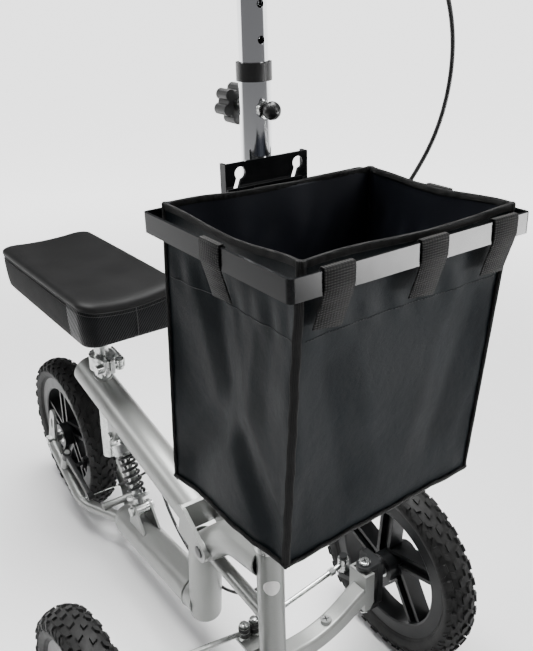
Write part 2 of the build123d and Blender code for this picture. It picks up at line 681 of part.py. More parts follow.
def basket_frame():
    """Flat-strip rectangle that the bag hangs in, with two studs that drop into the keyholes."""
    outer = block(BASKET_X, BASKET_Y, BASKET_Z)
    inner_x = (BASKET_X[0] + STRIP, BASKET_X[1] - STRIP)
    inner_y = (BASKET_Y[0] + STRIP, BASKET_Y[1] - STRIP)
    outer = fillet(outer.edges().filter_by(Axis.Z), 5)
    inner = fillet(block(inner_x, inner_y, (700, 900)).edges().filter_by(Axis.Z), 2)
    frame = outer - inner
    frame += block((BASKET_X[0], BASKET_X[0] + STRIP), (-52, 42), (790, 822))
    face = COLUMN_X + COLUMN_R
    for entry_y in KEYHOLE_Y:
        y = entry_y - STUD_SHIFT
        frame += rod((face - 1, y, STUD_Z), (BASKET_X[0] + 1, y, STUD_Z), 2.6)
        frame += rod((face - 5, y, STUD_Z), (face - GAP, y, STUD_Z), 5)
    return frame


def bag_section(x, y, z, radius):
    centre = Plane(origin=((x[0] + x[1]) / 2, (y[0] + y[1]) / 2, z))
    return centre * RectangleRounded(x[1] - x[0], y[1] - y[0], radius)


def basket_bag():
    """Open fabric bag: a thin shell that is a little shallower at the bottom than at the rim."""
    outer = loft([bag_section((48.5, 269), (-134, 114), BAG_TOP_Z, 8),
                  bag_section((47, 237), (-140, 128), BAG_LOW_Z, 8)])
    inner = loft([bag_section((51, 266.5), (-131.5, 111.5), BAG_TOP_Z + 0.01, 6),
                  bag_section((49.5, 234.5), (-137.5, 125.5), BAG_LOW_Z + 3, 6)])
    return outer - inner


def strap(wall, bar_low, bar_high, low_z):
    """Loop round the frame's strip, sewn to the bag below it. Profile in (outward, Z)."""
    thick = 1.8
    top, bottom = BASKET_Z[1], BASKET_Z[0]
    outer = [(wall, low_z), (bar_high + thick, bottom - 6), (bar_high + thick, top + thick),
             (bar_low - thick, top + thick), (bar_low - thick, bottom - 6), (wall, low_z + 8)]
    inner = [(wall, low_z + 3), (bar_high, bottom - 5), (bar_high, top), (bar_low, top),
             (bar_low, bottom - 5), (wall, low_z + 5)]
    return outer, inner


def strap_loop(plane, wall, bar_low, bar_high, width):
    outer, inner = strap(wall, bar_low, bar_high, 768)
    body = extrude(plane * make_face(Polyline(*outer, close=True)), width)
    hollow = extrude(plane * make_face(Polyline(*inner, close=True)), width)
    return body - hollow


def bag_straps():
    """Five webbing loops: three in front and one on each side."""
    width = 38.0
    straps = []
    walls = {"front": 264.6, "right": 135.4, "left": 116.8, "back": -48.6}
    for y in (-120, -17, 72):
        plane = Plane(origin=(0, y, 0), x_dir=(1, 0, 0), z_dir=(0, -1, 0))
        loop = strap_loop(plane, walls["front"], BASKET_X[1] - STRIP, BASKET_X[1], width)
        straps.append(Pos(0, width, 0) * loop)
    for wall, side, bar in ((walls["right"], -1, -BASKET_Y[0]), (walls["left"], 1, BASKET_Y[1])):
        plane = Plane(origin=(145, 0, 0), x_dir=(0, side, 0), z_dir=(side, 0, 0))
        loop = strap_loop(plane, wall, bar - STRIP, bar, width)
        straps.append(loop if side > 0 else Pos(width, 0, 0) * loop)
    bag = loft([bag_section((48.5, 269), (-134, 114), BAG_TOP_Z, 8),
                bag_section((47, 237), (-140, 128), BAG_LOW_Z, 8)])
    return [only_solid(s - bag) for s in straps]


# ---- handlebar ----------------------------------------------------------------------------
def inner_tube():
    """Telescoping tube with its row of height holes, open at the bottom."""
    tube = rod((COLUMN_X, 0, 700), (COLUMN_X, 0, BAR_Z), INNER_R, INNER_R - 1.8)
    for step in range(-4, 5):
        z = PIN_Z + HOLE_PITCH * step
        tube -= rod((COLUMN_X, 0, z), (COLUMN_X + 30, 0, z), 4)
    return only_solid(tube - bar_solid(BAR_R))


def bar_solid(radius):
    route = [Vector(-26, -282, BAR_Z + 6), Vector(10, -130, BAR_Z + 6), Vector(COLUMN_X, -64, BAR_Z),
             Vector(COLUMN_X, 64, BAR_Z), Vector(10, 130, BAR_Z + 6), Vector(-26, 282, BAR_Z + 6)]
    return pipe(route, 60, radius)


def grip_axis(side):
    start, end = Vector(10, side * 130, BAR_Z + 6), Vector(-26, side * 282, BAR_Z + 6)
    return start, (end - start).normalized()


def grips():
    """Rubber grips over both ends of the bar, closed at their ends."""
    parts = []
    for side in (-1, 1):
        start, along = grip_axis(side)
        grip = rod(start + along * 30, start + along * 161, GRIP_R)
        parts.append(grip - rod(start, start + along * 156.2, BAR_R))
    return parts


def lever_clamp():
    """Brake lever's bracket on the right of the bar, with the cable's adjuster."""
    start, along = grip_axis(-1)
    forward = Vector(-along.Y, along.X, 0)
    centre = start + along * 16
    clamp = rod(centre - along * 9, centre + along * 9, 16)
    horn = Plane(origin=centre + forward * 12, x_dir=along, z_dir=forward)
    clamp += extrude(horn * RectangleRounded(18, 20, 3), 34)
    knuckle = centre + forward * 40
    clamp += rod(knuckle - Vector(0, 0, 10), knuckle + Vector(0, 0, 10), 9)
    clamp += rod((50, -104, 1083), (knuckle.X, knuckle.Y, BAR_Z + 4), 5)
    clamp -= rod(centre - along * 20, centre + along * 20, BAR_R)
    slot = Plane(origin=knuckle - Vector(0, 0, 4.5), z_dir=(0, 0, 1))
    clamp -= extrude(slot * Circle(12), 9) - extrude(slot * Circle(3), 9)
    return only_solid(clamp)


def lever_pivot():
    start, along = grip_axis(-1)
    return start + along * 16 + Vector(-along.Y, along.X, 0) * 40


def brake_lever():
    """Finger lever that turns on the bracket's pin and runs outwards in front of the grip."""
    _, along = grip_axis(-1)
    pivot = lever_pivot()
    forward = Vector(-along.Y, along.X, 0)
    half = 4.0
    hub = rod(pivot - Vector(0, 0, half), pivot + Vector(0, 0, half), 8.5)
    elbow = pivot + along * 14 + forward * 12
    end = pivot + along * 120 + forward * 22
    blade = rod(pivot, elbow, half) + Pos(*elbow) * Sphere(half) + rod(elbow, end, half)
    tip = Pos(*end) * Sphere(6)
    return hub + blade + tip - rod(pivot - Vector(0, 0, 20), pivot + Vector(0, 0, 20), 3 + RUN)


def pull_pin():
    """Spring pin with a ball knob; it is drawn forward to free the column."""
    tip = COLUMN_X + INNER_R + 0.25
    ball_x = COLUMN_X + 29.7
    return rod((tip, 0, PIN_Z), (ball_x, 0, PIN_Z), 3.6) + Pos(ball_x, 0, PIN_Z) * Sphere(9.3)


def star_knob():
    """Six-lobed knob and its clamp screw."""
    front = COLUMN_X - 27 - GAP
    plane = Plane(origin=(front, 0, PIN_Z), z_dir=(-1, 0, 0))
    knob = extrude(plane * Circle(15), 20)
    for i in range(6):
        lobe = Rot(0, 0, 60 * i + 12) * Pos(15, 0) * Circle(6)
        knob += extrude(plane * lobe, 20)
    screw_tip = COLUMN_X - INNER_R - 0.25
    return knob + rod((front, 0, PIN_Z), (screw_tip, 0, PIN_Z), 4)


# ---- front suspension corners -------------------------------------------------------------
def knuckle():
    """Left knuckle: a yoke over the kingpin's tube, the wheel's spindle and the steering arm."""
    low, high = HOUSING_Z
    x, y = KINGPIN_X, KINGPIN_Y
    yoke = block((x - 30, x + 13), (y + 16, y + 26), (low - EAR_HIGH, high + EAR_HIGH))
    yoke = fillet(yoke.edges().filter_by(Axis.Y), 8)
    for z0 in (low - EAR_HIGH, high + GAP):
        ear = rod((x, y, z0), (x, y, z0 + EAR_HIGH - GAP), 13)
        ear += block((x - 13, x + 13), (y, y + 20), (z0, z0 + EAR_HIGH - GAP))
        yoke += ear
    yoke += rod((0, y + 20, WHEEL_R), (0, TRACK_HALF - HUB_HALF - GAP, WHEEL_R), 11)
    yoke += rod((0, y + 20, WHEEL_R), (0, TRACK_HALF + 41, WHEEL_R), AXLE_R)
    nut = Plane(origin=(0, TRACK_HALF + HUB_HALF + GAP, WHEEL_R), z_dir=(0, 1, 0))
    yoke += extrude(nut * RegularPolygon(10, 6), 7)
    end_x, end_y = x - LINK_BACK, y + LINK_OUT
    yoke += link_bar((x - 24, y + 21), (end_x, end_y), 138, 147)
    yoke += rod((end_x, end_y, 146), (end_x, end_y, 176), 4)
    yoke += rod((end_x, end_y, 173.4), (end_x, end_y, 177), 6.5)
    return yoke - rod((x, y, low - 20), (x, y, high + 20), 5 + RUN)


def link_bar(start, end, low, high):
    """A level bar with round ends between two points."""
    plane = Plane(origin=(0, 0, low))
    return extrude(plane * hull_of([(*start, 8), (*end, 8)]), high - low)


def kingpin_bolts():
    """Bolts pressed in the kingpin tubes, with a domed head on top and a nut below."""
    low, high = HOUSING_Z
    x, y = KINGPIN_X, KINGPIN_Y
    head_z, nut_z = high + EAR_HIGH + GAP, low - EAR_HIGH - GAP - 7
    bolt = rod((x, y, nut_z), (x, y, head_z), 5)
    head = fillet(rod((x, y, head_z), (x, y, head_z + 5), 9).edges().sort_by(Axis.Z)[-1], 2.5)
    bolt = bolt + head + extrude(Plane(origin=(x, y, nut_z)) * RegularPolygon(8, 6), 7)
    return [bolt, mirrored(bolt)]


def tie_rod():
    """Left tie rod: a rod with a ball joint's housing on each end."""
    inner = Vector(COLUMN_X - LINK_BACK, LINK_OUT, 134.5)
    outer = Vector(KINGPIN_X - LINK_BACK, KINGPIN_Y + LINK_OUT, 160)
    link = rod(inner, outer, 4)
    hex_start = outer + (inner - outer).normalized() * 20
    hex_plane = Plane(origin=hex_start, z_dir=inner - outer)
    link += extrude(hex_plane * RegularPolygon(6.5, 6), 9)
    for at in (inner, outer):
        link += rod(at - Vector(0, 0, 11.5), at + Vector(0, 0, 11.5), 8.4)
    for at in (inner, outer):
        link -= rod(at - Vector(0, 0, 20), at + Vector(0, 0, 20), 4 + RUN)
    return link


# ---- assembly -----------------------------------------------------------------------------
def all_parts():
    parts = {
        "main_post": main_post(),
        "lower_beam": lower_beam(),
        "rear_yoke": rear_yoke(),
        "front_tube": front_tube(),
        "brace_tube": brace_tube(),
        "head_tube": head_tube(),
        "headset_cups": headset_cups(),
        "axle_beam": axle_beam(),
        "kingpin_brackets": [kingpin_bracket(), mirrored(kingpin_bracket())],
        "kingpin_bolts": kingpin_bolts(),
        "shock_bracket": shock_bracket(),
        "rear_axle": rear_axle(),
        "frame_bolts": frame_bolts(),
        "brake_cable_low": brake_cable_low(),
        "brake_cable_high": cord(cable_high_route(), 2.6),
        "brake_arm_left": brake_arm(),
        "brake_arm_right": mirrored(brake_arm()),
        "knee_arm": knee_arm(),
        "arm_clevis": arm_clevis(),
        "arm_pins": [pivot_pin(), shock_top_bolt()],
        "seat_sleeve": seat_sleeve(),
        "seat_clamp": seat_clamp(),
        "clamp_skewer": clamp_skewer(),
        "clamp_lever": clamp_lever(),
        "shock_top_bracket": shock_top_bracket(),
        "shock_body": shock_body(),
        "shock_shaft": shock_shaft(),
        "shock_spring": shock_spring(),
        "seat_post": seat_post(),
        "seat_pan": seat_pan(),
        "knee_pad": knee_pad(),
        "steering_shaft": steering_shaft(),
        "pitman_arm": pitman_arm(),
        "column_tube": column_tube(),
        "column_collar": column_collar(),
        "plunger_housing": plunger_housing(),
        "basket_plate": basket_plate(),
        "basket_frame": basket_frame(),
        "basket_bag": basket_bag(),
        "bag_straps": bag_straps(),
        "inner_tube": inner_tube(),
        "handlebar": bar_solid(BAR_R) - bar_solid(BAR_R - 1.8),
        "grips": grips(),
        "lever_clamp": lever_clamp(),
        "brake_lever": brake_lever(),
        "pull_pin": pull_pin(),
        "star_knob": star_knob(),
        "knuckle_left": knuckle(),
        "knuckle_right": mirrored(knuckle()),
        "tie_rod_left": tie_rod(),
        "tie_rod_right": mirrored(tie_rod()),
    }
    parts.update(wheel_parts("front_left", (0, TRACK_HALF, WHEEL_R)))
    parts.update(wheel_parts("front_right", (0, -TRACK_HALF, WHEEL_R)))
    parts.update(wheel_parts("rear", (-WHEELBASE, 0, WHEEL_R)))
    return parts


def write(name, part):
    """Moves a node from the front axle's frame to the middle of the scooter and exports it."""
    solids = part if isinstance(part, list) else part.solids()
    flat = [Pos(CENTRE_SHIFT, 0, 0) * s for item in solids for s in item.solids()]
    shape = flat[0] if len(flat) == 1 else Compound(children=flat)
    export_step(shape, f"parts/{name}.step")


for node, part in all_parts().items():
    write(node, part)
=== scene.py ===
"""Looks of the knee scooter: materials, tyres, pad, bag, straps, cable, screws, and the studio.

Metres, in the row's frame: +X forward, +Y to the rider's left, +Z up.
"""
import math

import bpy
from mathutils import Matrix, Vector, noise


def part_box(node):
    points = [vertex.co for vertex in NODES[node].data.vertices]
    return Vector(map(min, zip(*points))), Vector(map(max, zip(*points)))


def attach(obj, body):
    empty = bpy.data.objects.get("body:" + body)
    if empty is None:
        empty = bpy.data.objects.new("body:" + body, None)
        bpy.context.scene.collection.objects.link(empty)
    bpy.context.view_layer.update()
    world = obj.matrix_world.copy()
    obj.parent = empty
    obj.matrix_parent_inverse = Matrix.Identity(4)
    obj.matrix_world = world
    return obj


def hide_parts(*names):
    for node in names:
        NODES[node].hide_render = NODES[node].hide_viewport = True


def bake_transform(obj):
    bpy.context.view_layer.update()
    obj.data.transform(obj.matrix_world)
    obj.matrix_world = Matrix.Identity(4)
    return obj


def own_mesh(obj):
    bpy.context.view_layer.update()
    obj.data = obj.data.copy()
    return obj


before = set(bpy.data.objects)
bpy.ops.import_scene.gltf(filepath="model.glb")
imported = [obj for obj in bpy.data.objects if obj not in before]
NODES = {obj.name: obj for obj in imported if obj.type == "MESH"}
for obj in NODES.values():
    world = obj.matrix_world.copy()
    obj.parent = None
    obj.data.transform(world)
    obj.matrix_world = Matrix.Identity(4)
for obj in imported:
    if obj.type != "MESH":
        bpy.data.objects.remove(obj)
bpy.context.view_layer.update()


def box_of(node):
    low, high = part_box(node)
    return Vector(low), Vector(high)


def centre_of(node):
    low, high = box_of(node)
    return (low + high) / 2


# ---- places taken from the frame ----
AXLE_X = centre_of("front_left_tyre").x
COLUMN_X = centre_of("column_tube").x
PAD_LOW, PAD_HIGH = box_of("knee_pad")
BAG_LOW, BAG_HIGH = box_of("basket_bag")
RING_LOW, RING_HIGH = box_of("basket_frame")
WHEELS = ("front_left", "front_right", "rear")


# ---- camera, floor and lights ----
def add_camera():
    """Viewpoint in front of the scooter and to its right, looking down on the basket."""
    azimuth, elevation, roll = math.radians(55.59), math.radians(24.46), math.radians(-1.74)
    look = Vector((-math.sin(azimuth) * math.cos(elevation), math.cos(azimuth) * math.cos(elevation),
                   -math.sin(elevation)))
    camera = bpy.data.objects.new("camera", bpy.data.cameras.new("camera"))
    bpy.context.collection.objects.link(camera)
    camera.location = (AXLE_X + 0.7137, -0.4679, 1.0290)
    turn = look.to_track_quat("-Z", "Y") @ Matrix.Rotation(roll, 4, "Z").to_quaternion()
    camera.rotation_mode = "QUATERNION"
    camera.rotation_quaternion = turn
    camera.data.sensor_width = 36.0
    camera.data.lens = 44.02
    camera.data.clip_start = 0.01
    bpy.context.scene.camera = camera


FAR_GLOW = 2.4
BEHIND_X, BEHIND_Y = -0.825, 0.565  # level direction away from the camera


def floor_plane(name, z, start, reach):
    """Pale plane whose glow rises from start over reach.

    Returns the plane, its material's node tree and the socket that sets where the glow is.
    """
    bpy.ops.mesh.primitive_plane_add(size=200, location=(0, 0, z))
    plane = bpy.context.object
    plane.name = name
    mat, tree, shader = new_material("studio_" + name, (0.92, 0.92, 0.92), 0.9)
    set_specular(shader, 0.0)
    rise = tree.nodes.new("ShaderNodeMapRange")
    rise.interpolation_type = "SMOOTHSTEP"
    rise.inputs["From Min"].default_value = start
    rise.inputs["From Max"].default_value = start + reach
    rise.inputs["To Max"].default_value = FAR_GLOW
    shader.inputs["Emission Color"].default_value = (1, 1, 1, 1)
    tree.links.new(rise.outputs["Result"], shader.inputs["Emission Strength"])
    plane.data.materials.append(mat)
    return plane, tree, rise.inputs["Value"]


def hide_from(thing, *rays):
    """Make a staged object invisible to these kinds of ray."""
    for ray in rays:
        setattr(thing, "visible_" + ray, False)


def add_floor():
    """A pale floor that brightens all round, over one that lights the scooter from behind only."""
    seen, tree, glow = floor_plane("floor", z=-0.0005, start=0.75, reach=2.25)
    distance = tree.nodes.new("ShaderNodeVectorMath")
    distance.operation = "LENGTH"
    tree.links.new(object_coords(tree), distance.inputs[0])
    tree.links.new(distance.outputs["Value"], glow)
    hide_from(seen, "diffuse", "glossy", "shadow")
    bounce, tree, glow = floor_plane("bounce_floor", z=-0.0010, start=-0.2, reach=2.8)
    split = tree.nodes.new("ShaderNodeSeparateXYZ")
    tree.links.new(object_coords(tree), split.inputs[0])
    part_x = maths(tree, "MULTIPLY", split.outputs["X"], BEHIND_X)
    part_y = maths(tree, "MULTIPLY", split.outputs["Y"], BEHIND_Y)
    tree.links.new(maths(tree, "ADD", part_x, part_y), glow)
    hide_from(bounce, "camera")


def add_backdrop():
    """Pale wall far round the floor, which neither lights the scooter nor shows in its gloss."""
    bpy.ops.mesh.primitive_cylinder_add(radius=60, depth=120, vertices=96, end_fill_type="NOTHING")
    wall = bpy.context.object
    wall.name = "backdrop"
    mat, _, shader = new_material("studio_wall", (0, 0, 0), 1.0)
    set_specular(shader, 0.0)
    shader.inputs["Emission Color"].default_value = (1, 1, 1, 1)
    shader.inputs["Emission Strength"].default_value = FAR_GLOW
    wall.data.materials.append(mat)
    hide_from(wall, "diffuse", "glossy", "transmission", "shadow")


def area_light(name, place, target, size, power, height=None, spread=180):
    """Soft lamp aimed at target: a disc, or a rectangle if height is given."""
    light = bpy.data.lights.new(name, "AREA")
    light.shape = "RECTANGLE" if height else "DISK"
    light.size = size
    if height:
        light.size_y = height
    light.energy = power
    light.spread = math.radians(spread)
    lamp = bpy.data.objects.new(name, light)
    bpy.context.collection.objects.link(lamp)
    lamp.location = place
    lamp.rotation_mode = "QUATERNION"
    lamp.rotation_quaternion = (Vector(target) - Vector(place)).to_track_quat("-Z", "Y")


def add_studio():
    """A dim room with soft lights overhead, so that black parts stay black on a white floor."""
    world = bpy.data.worlds.new("studio")
    bpy.context.scene.world = world
    world.use_nodes = True
    tree = world.node_tree
    background = tree.nodes["Background"]
    coords = tree.nodes.new("ShaderNodeTexCoord")
    split = tree.nodes.new("ShaderNodeSeparateXYZ")
    ramp = tree.nodes.new("ShaderNodeValToRGB")
    tree.links.new(coords.outputs["Generated"], split.inputs[0])
    tree.links.new(split.outputs["Z"], ramp.inputs["Fac"])
    ramp.color_ramp.elements[0].position = 0.0
    ramp.color_ramp.elements[0].color = (0.05, 0.05, 0.052, 1)
    ramp.color_ramp.elements[1].position = 1.0
    ramp.color_ramp.elements[1].color = (0.30, 0.30, 0.31, 1)
    tree.links.new(ramp.outputs["Color"], background.inputs["Color"])
    background.inputs["Strength"].default_value = 1.0
    area_light("overhead", (-0.15, 0.15, 2.15), (0, 0, 0), 1.5, 120)
    area_light("panel_left", (-1.3, -1.7, 1.7), (0, 0, 0.5), 0.7, 16)
    area_light("panel_front", (1.9, 0.9, 1.6), (0, 0, 0.6), 0.7, 12)
    area_light("panel_low", (1.70, 1.34, 0.24), (0.56, 0.02, 0.81), 0.92, 3.2, height=0.34, spread=56)


# ---- material helpers ----
def new_material(name, color, roughness, metallic=0.0):
    mat = bpy.data.materials.new(name)
    mat.use_nodes = True
    shader = mat.node_tree.nodes["Principled BSDF"]
    shader.inputs["Base Color"].default_value = (*color, 1)
    shader.inputs["Roughness"].default_value = roughness
    shader.inputs["Metallic"].default_value = metallic
    return mat, mat.node_tree, shader


def object_coords(tree, scale=(1, 1, 1)):
    coords = tree.nodes.new("ShaderNodeTexCoord")
    mapping = tree.nodes.new("ShaderNodeMapping")
    mapping.inputs["Scale"].default_value = scale
    tree.links.new(coords.outputs["Object"], mapping.inputs["Vector"])
    return mapping.outputs["Vector"]


def noise_of(tree, vector, scale, detail, rough=0.5):
    node = tree.nodes.new("ShaderNodeTexNoise")
    node.inputs["Scale"].default_value = scale
    node.inputs["Detail"].default_value = detail
    node.inputs["Roughness"].default_value = rough
    tree.links.new(vector, node.inputs["Vector"])
    return node.outputs["Fac"]


def waves_of(tree, vector, scale, direction):
    node = tree.nodes.new("ShaderNodeTexWave")
    node.wave_type = "BANDS"
    node.bands_direction = direction
    node.inputs["Scale"].default_value = scale
    tree.links.new(vector, node.inputs["Vector"])
    return node.outputs["Fac"]


def maths(tree, kind, a, b):
    node = tree.nodes.new("ShaderNodeMath")
    node.operation = kind
    for slot, value in zip(node.inputs, (a, b)):
        if isinstance(value, (int, float)):
            slot.default_value = value
        else:
            tree.links.new(value, slot)
    return node.outputs[0]


def ramp_of(tree, fac, low, high, low_at=0.3, high_at=0.7):
    node = tree.nodes.new("ShaderNodeValToRGB")
    node.color_ramp.elements[0].position = low_at
    node.color_ramp.elements[1].position = high_at
    node.color_ramp.elements[0].color = (*low, 1)
    node.color_ramp.elements[1].color = (*high, 1)
    tree.links.new(fac, node.inputs["Fac"])
    return node.outputs["Color"]


def range_of(tree, fac, low, high):
    node = tree.nodes.new("ShaderNodeMapRange")
    node.inputs["To Min"].default_value = low
    node.inputs["To Max"].default_value = high
    tree.links.new(fac, node.inputs["Value"])
    return node.outputs["Result"]


def add_bump(tree, shader, height, distance, strength):
    node = tree.nodes.new("ShaderNodeBump")
    node.inputs["Distance"].default_value = distance
    node.inputs["Strength"].default_value = strength
    tree.links.new(height, node.inputs["Height"])
    tree.links.new(node.outputs["Normal"], shader.inputs["Normal"])


def link_color(tree, shader, color):
    tree.links.new(color, shader.inputs["Base Color"])


def link_roughness(tree, shader, value):
    tree.links.new(value, shader.inputs["Roughness"])


def mottle(tree, shader, at, noise, dark, light):
    """Base colour that wanders between dark and light; noise is its scale and detail."""
    link_color(tree, shader, ramp_of(tree, noise_of(tree, at, *noise), dark, light))


def uneven_gloss(tree, shader, at, noise, low, high):
    """Roughness that wanders between low and high."""
    link_roughness(tree, shader, range_of(tree, noise_of(tree, at, *noise), low, high))


def set_specular(shader, level):
    shader.inputs["Specular IOR Level"].default_value = level


# ---- materials ----
def silver_paint():
    """Satin silver enamel with fine flakes and a faint orange peel."""
    mat, tree, shader = new_material("silver_paint", (0.55, 0.56, 0.56), 0.40, 0.55)
    at = object_coords(tree)
    flakes = noise_of(tree, at, 2600, 2)
    link_color(tree, shader, ramp_of(tree, flakes, (0.21, 0.216, 0.207), (0.30, 0.307, 0.296)))
    uneven_gloss(tree, shader, at, (30, 4), 0.33, 0.46)
    add_bump(tree, shader, noise_of(tree, at, 420, 3), 0.00006, 0.5)
    shader.inputs["Coat Weight"].default_value = 0.25
    shader.inputs["Coat Roughness"].default_value = 0.16
    return mat


def zinc_plate():
    """Bright zinc plating: uneven sheen with fine drawn lines."""
    mat, tree, shader = new_material("zinc_plate", (0.66, 0.67, 0.66), 0.28, 1.0)
    at = object_coords(tree)
    mottle(tree, shader, at, (140, 4), (0.42, 0.43, 0.42), (0.62, 0.63, 0.62))
    uneven_gloss(tree, shader, at, (60, 5), 0.18, 0.38)
    add_bump(tree, shader, noise_of(tree, object_coords(tree, (900, 900, 90)), 1.0, 2), 0.00003, 0.4)
    return mat


def chrome_plate():
    """Bright chrome with a faint unevenness."""
    mat, tree, shader = new_material("chrome_plate", (0.80, 0.81, 0.82), 0.07, 1.0)
    at = object_coords(tree)
    uneven_gloss(tree, shader, at, (18, 5), 0.05, 0.11)
    add_bump(tree, shader, noise_of(tree, object_coords(tree, (60, 60, 9)), 1.0, 2), 0.00005, 0.25)
    return mat


def black_paint(name="black_paint", roughness=0.34):
    """Black powder coat with a fine texture."""
    mat, tree, shader = new_material(name, (0.012, 0.013, 0.014), roughness)
    set_specular(shader, 0.4)
    at = object_coords(tree)
    mottle(tree, shader, at, (45, 4), (0.004, 0.0045, 0.005), (0.009, 0.0095, 0.010))
    uneven_gloss(tree, shader, at, (90, 4), roughness - 0.06, roughness + 0.08)
    add_bump(tree, shader, noise_of(tree, at, 900, 3), 0.00005, 0.4)
    return mat


def wheel_plastic():
    """Moulded black nylon with a fine grain and a soft shine."""
    mat, tree, shader = new_material("wheel_plastic", (0.014, 0.015, 0.016), 0.36)
    set_specular(shader, 0.25)
    at = object_coords(tree)
    mottle(tree, shader, at, (25, 5), (0.004, 0.0045, 0.005), (0.009, 0.0095, 0.010))
    uneven_gloss(tree, shader, at, (60, 5), 0.30, 0.46)
    add_bump(tree, shader, noise_of(tree, at, 1500, 3), 0.00008, 0.5)
    return mat


def tyre_rubber():
    """Black rubber with dusty variation."""
    mat, tree, shader = new_material("tyre_rubber", (0.02, 0.02, 0.02), 0.62)
    at = object_coords(tree)
    mottle(tree, shader, at, (35, 6, 0.65), (0.005, 0.005, 0.005), (0.013, 0.013, 0.0125))
    set_specular(shader, 0.30)
    uneven_gloss(tree, shader, at, (80, 5), 0.52, 0.78)
    add_bump(tree, shader, noise_of(tree, at, 1100, 5), 0.00016, 0.7)
    return mat


def moulded(name, color, roughness):
    """Plastic or rubber in one colour, with a fine moulded grain."""
    mat, tree, shader = new_material(name, color, roughness)
    at = object_coords(tree)
    dark = tuple(c * 0.75 for c in color)
    light = tuple(c * 1.35 for c in color)
    mottle(tree, shader, at, (60, 4), dark, light)
    uneven_gloss(tree, shader, at, (120, 4), roughness - 0.06, roughness + 0.08)
    add_bump(tree, shader, noise_of(tree, at, 1200, 3), 0.00008, 0.5)
    return mat


def weave_height(tree, scale_a, scale_b):
    """Height of a plain weave: threads one way over threads the other way, on all three sides."""
    at = object_coords(tree)
    level = maths(tree, "ADD", waves_of(tree, at, scale_a, "X"), waves_of(tree, at, scale_a, "Y"))
    return maths(tree, "MULTIPLY", level, waves_of(tree, at, scale_b, "Z"))


def thread_height(tree):
    """Fine woven grain: short streaks along and across."""
    level = noise_of(tree, object_coords(tree, (300, 300, 2400)), 1.0, 1)
    upright = noise_of(tree, object_coords(tree, (2400, 2400, 300)), 1.0, 1)
    return maths(tree, "ADD", level, upright)


def bag_cloth():
    """Coated nylon: slate black, fine weave, soft sheen."""
    mat, tree, shader = new_material("bag_cloth", (0.020, 0.025, 0.027), 0.50)
    set_specular(shader, 0.085)
    at = object_coords(tree)
    mottle(tree, shader, at, (14, 5), (0.0014, 0.0032, 0.0046), (0.0032, 0.0060, 0.0080))
    uneven_gloss(tree, shader, at, (24, 5), 0.38, 0.52)
    weave = thread_height(tree)
    crumple = maths(tree, "MULTIPLY", noise_of(tree, at, 26, 5, 0.6), 8.0)
    add_bump(tree, shader, maths(tree, "ADD", weave, crumple), 0.00022, 0.6)
    return mat


def bag_lining():
    """Inside of the bag: the same weave, bluer and more matt."""
    mat, tree, shader = new_material("bag_lining", (0.008, 0.009, 0.012), 0.5)
    set_specular(shader, 0.30)
    at = object_coords(tree)
    mottle(tree, shader, at, (10, 5), (0.006, 0.007, 0.011), (0.014, 0.016, 0.023))
    weave = thread_height(tree)
    crumple = maths(tree, "MULTIPLY", noise_of(tree, at, 22, 5), 7.0)
    add_bump(tree, shader, maths(tree, "ADD", weave, crumple), 0.0002, 0.5)
    return mat


def webbing(name="webbing", scale=105, light=0.020):
    """Coarse black webbing with visible ribs."""
    mat, tree, shader = new_material(name, (0.008, 0.008, 0.008), 0.7)
    set_specular(shader, 0.25)
    height = weave_height(tree, scale, scale * 1.3)
    ribs = (light, light * 0.98, light * 0.93)
    link_color(tree, shader, ramp_of(tree, height, (0.002, 0.002, 0.002), ribs, 0.15, 0.95))
    add_bump(tree, shader, height, 0.0007, 0.9)
    return mat


def pad_leather(name="pad_leather", shade=1.0, specular=0.15):
    """Soft black leatherette with a fine pebble grain."""
    mat, tree, shader = new_material(name, (0.010, 0.010, 0.010), 0.46)
    set_specular(shader, specular)
    at = object_coords(tree)
    cells = tree.nodes.new("ShaderNodeTexVoronoi")
    cells.feature = "DISTANCE_TO_EDGE"
    cells.inputs["Scale"].default_value = 620
    tree.links.new(at, cells.inputs["Vector"])
    # a shade below 1 darkens the leatherette's colour: painted shade, used on the pad's side band
    mottle(tree, shader, at, (16, 5), (0.0030 * shade,) * 3, (0.0056 * shade,) * 3)
    uneven_gloss(tree, shader, at, (30, 4), 0.50, 0.62)
    creases = maths(tree, "MINIMUM", cells.outputs["Distance"], 0.22)
    add_bump(tree, shader, creases, 0.0005, 0.25)
    return mat


def pad_twill():
    """Vinyl with raised diagonal ribs."""
    mat, tree, shader = new_material("pad_twill", (0.02, 0.02, 0.02), 0.42)
    set_specular(shader, 0.10)
    at = object_coords(tree)
    split = tree.nodes.new("ShaderNodeSeparateXYZ")
    tree.links.new(at, split.inputs[0])
    along = maths(tree, "ADD", split.outputs["X"], split.outputs["Y"])
    diagonal = maths(tree, "ADD", along, maths(tree, "MULTIPLY", split.outputs["Z"], -0.8))
    steps = maths(tree, "MULTIPLY", diagonal, 2 * math.pi / 0.0050)
    ribs = maths(tree, "SINE", steps, 0)
    dark, light = (0.0010, 0.0012, 0.0014), (0.008, 0.009, 0.0105)
    link_color(tree, shader, ramp_of(tree, ribs, dark, light, 0.35, 0.95))
    fine = noise_of(tree, at, 900, 2)
    add_bump(tree, shader, maths(tree, "ADD", ribs, fine), 0.0004, 0.7)
    return mat


def basket_strip():
    """Satin-gloss black steel strip."""
    mat, tree, shader = new_material("basket_strip", (0.004, 0.0043, 0.0047), 0.2)
    set_specular(shader, 0.17)
    at = object_coords(tree)
    mottle(tree, shader, at, (90, 4), (0.003, 0.0032, 0.0035), (0.006, 0.0065, 0.007))
    uneven_gloss(tree, shader, at, (70, 4), 0.17, 0.24)
    return mat


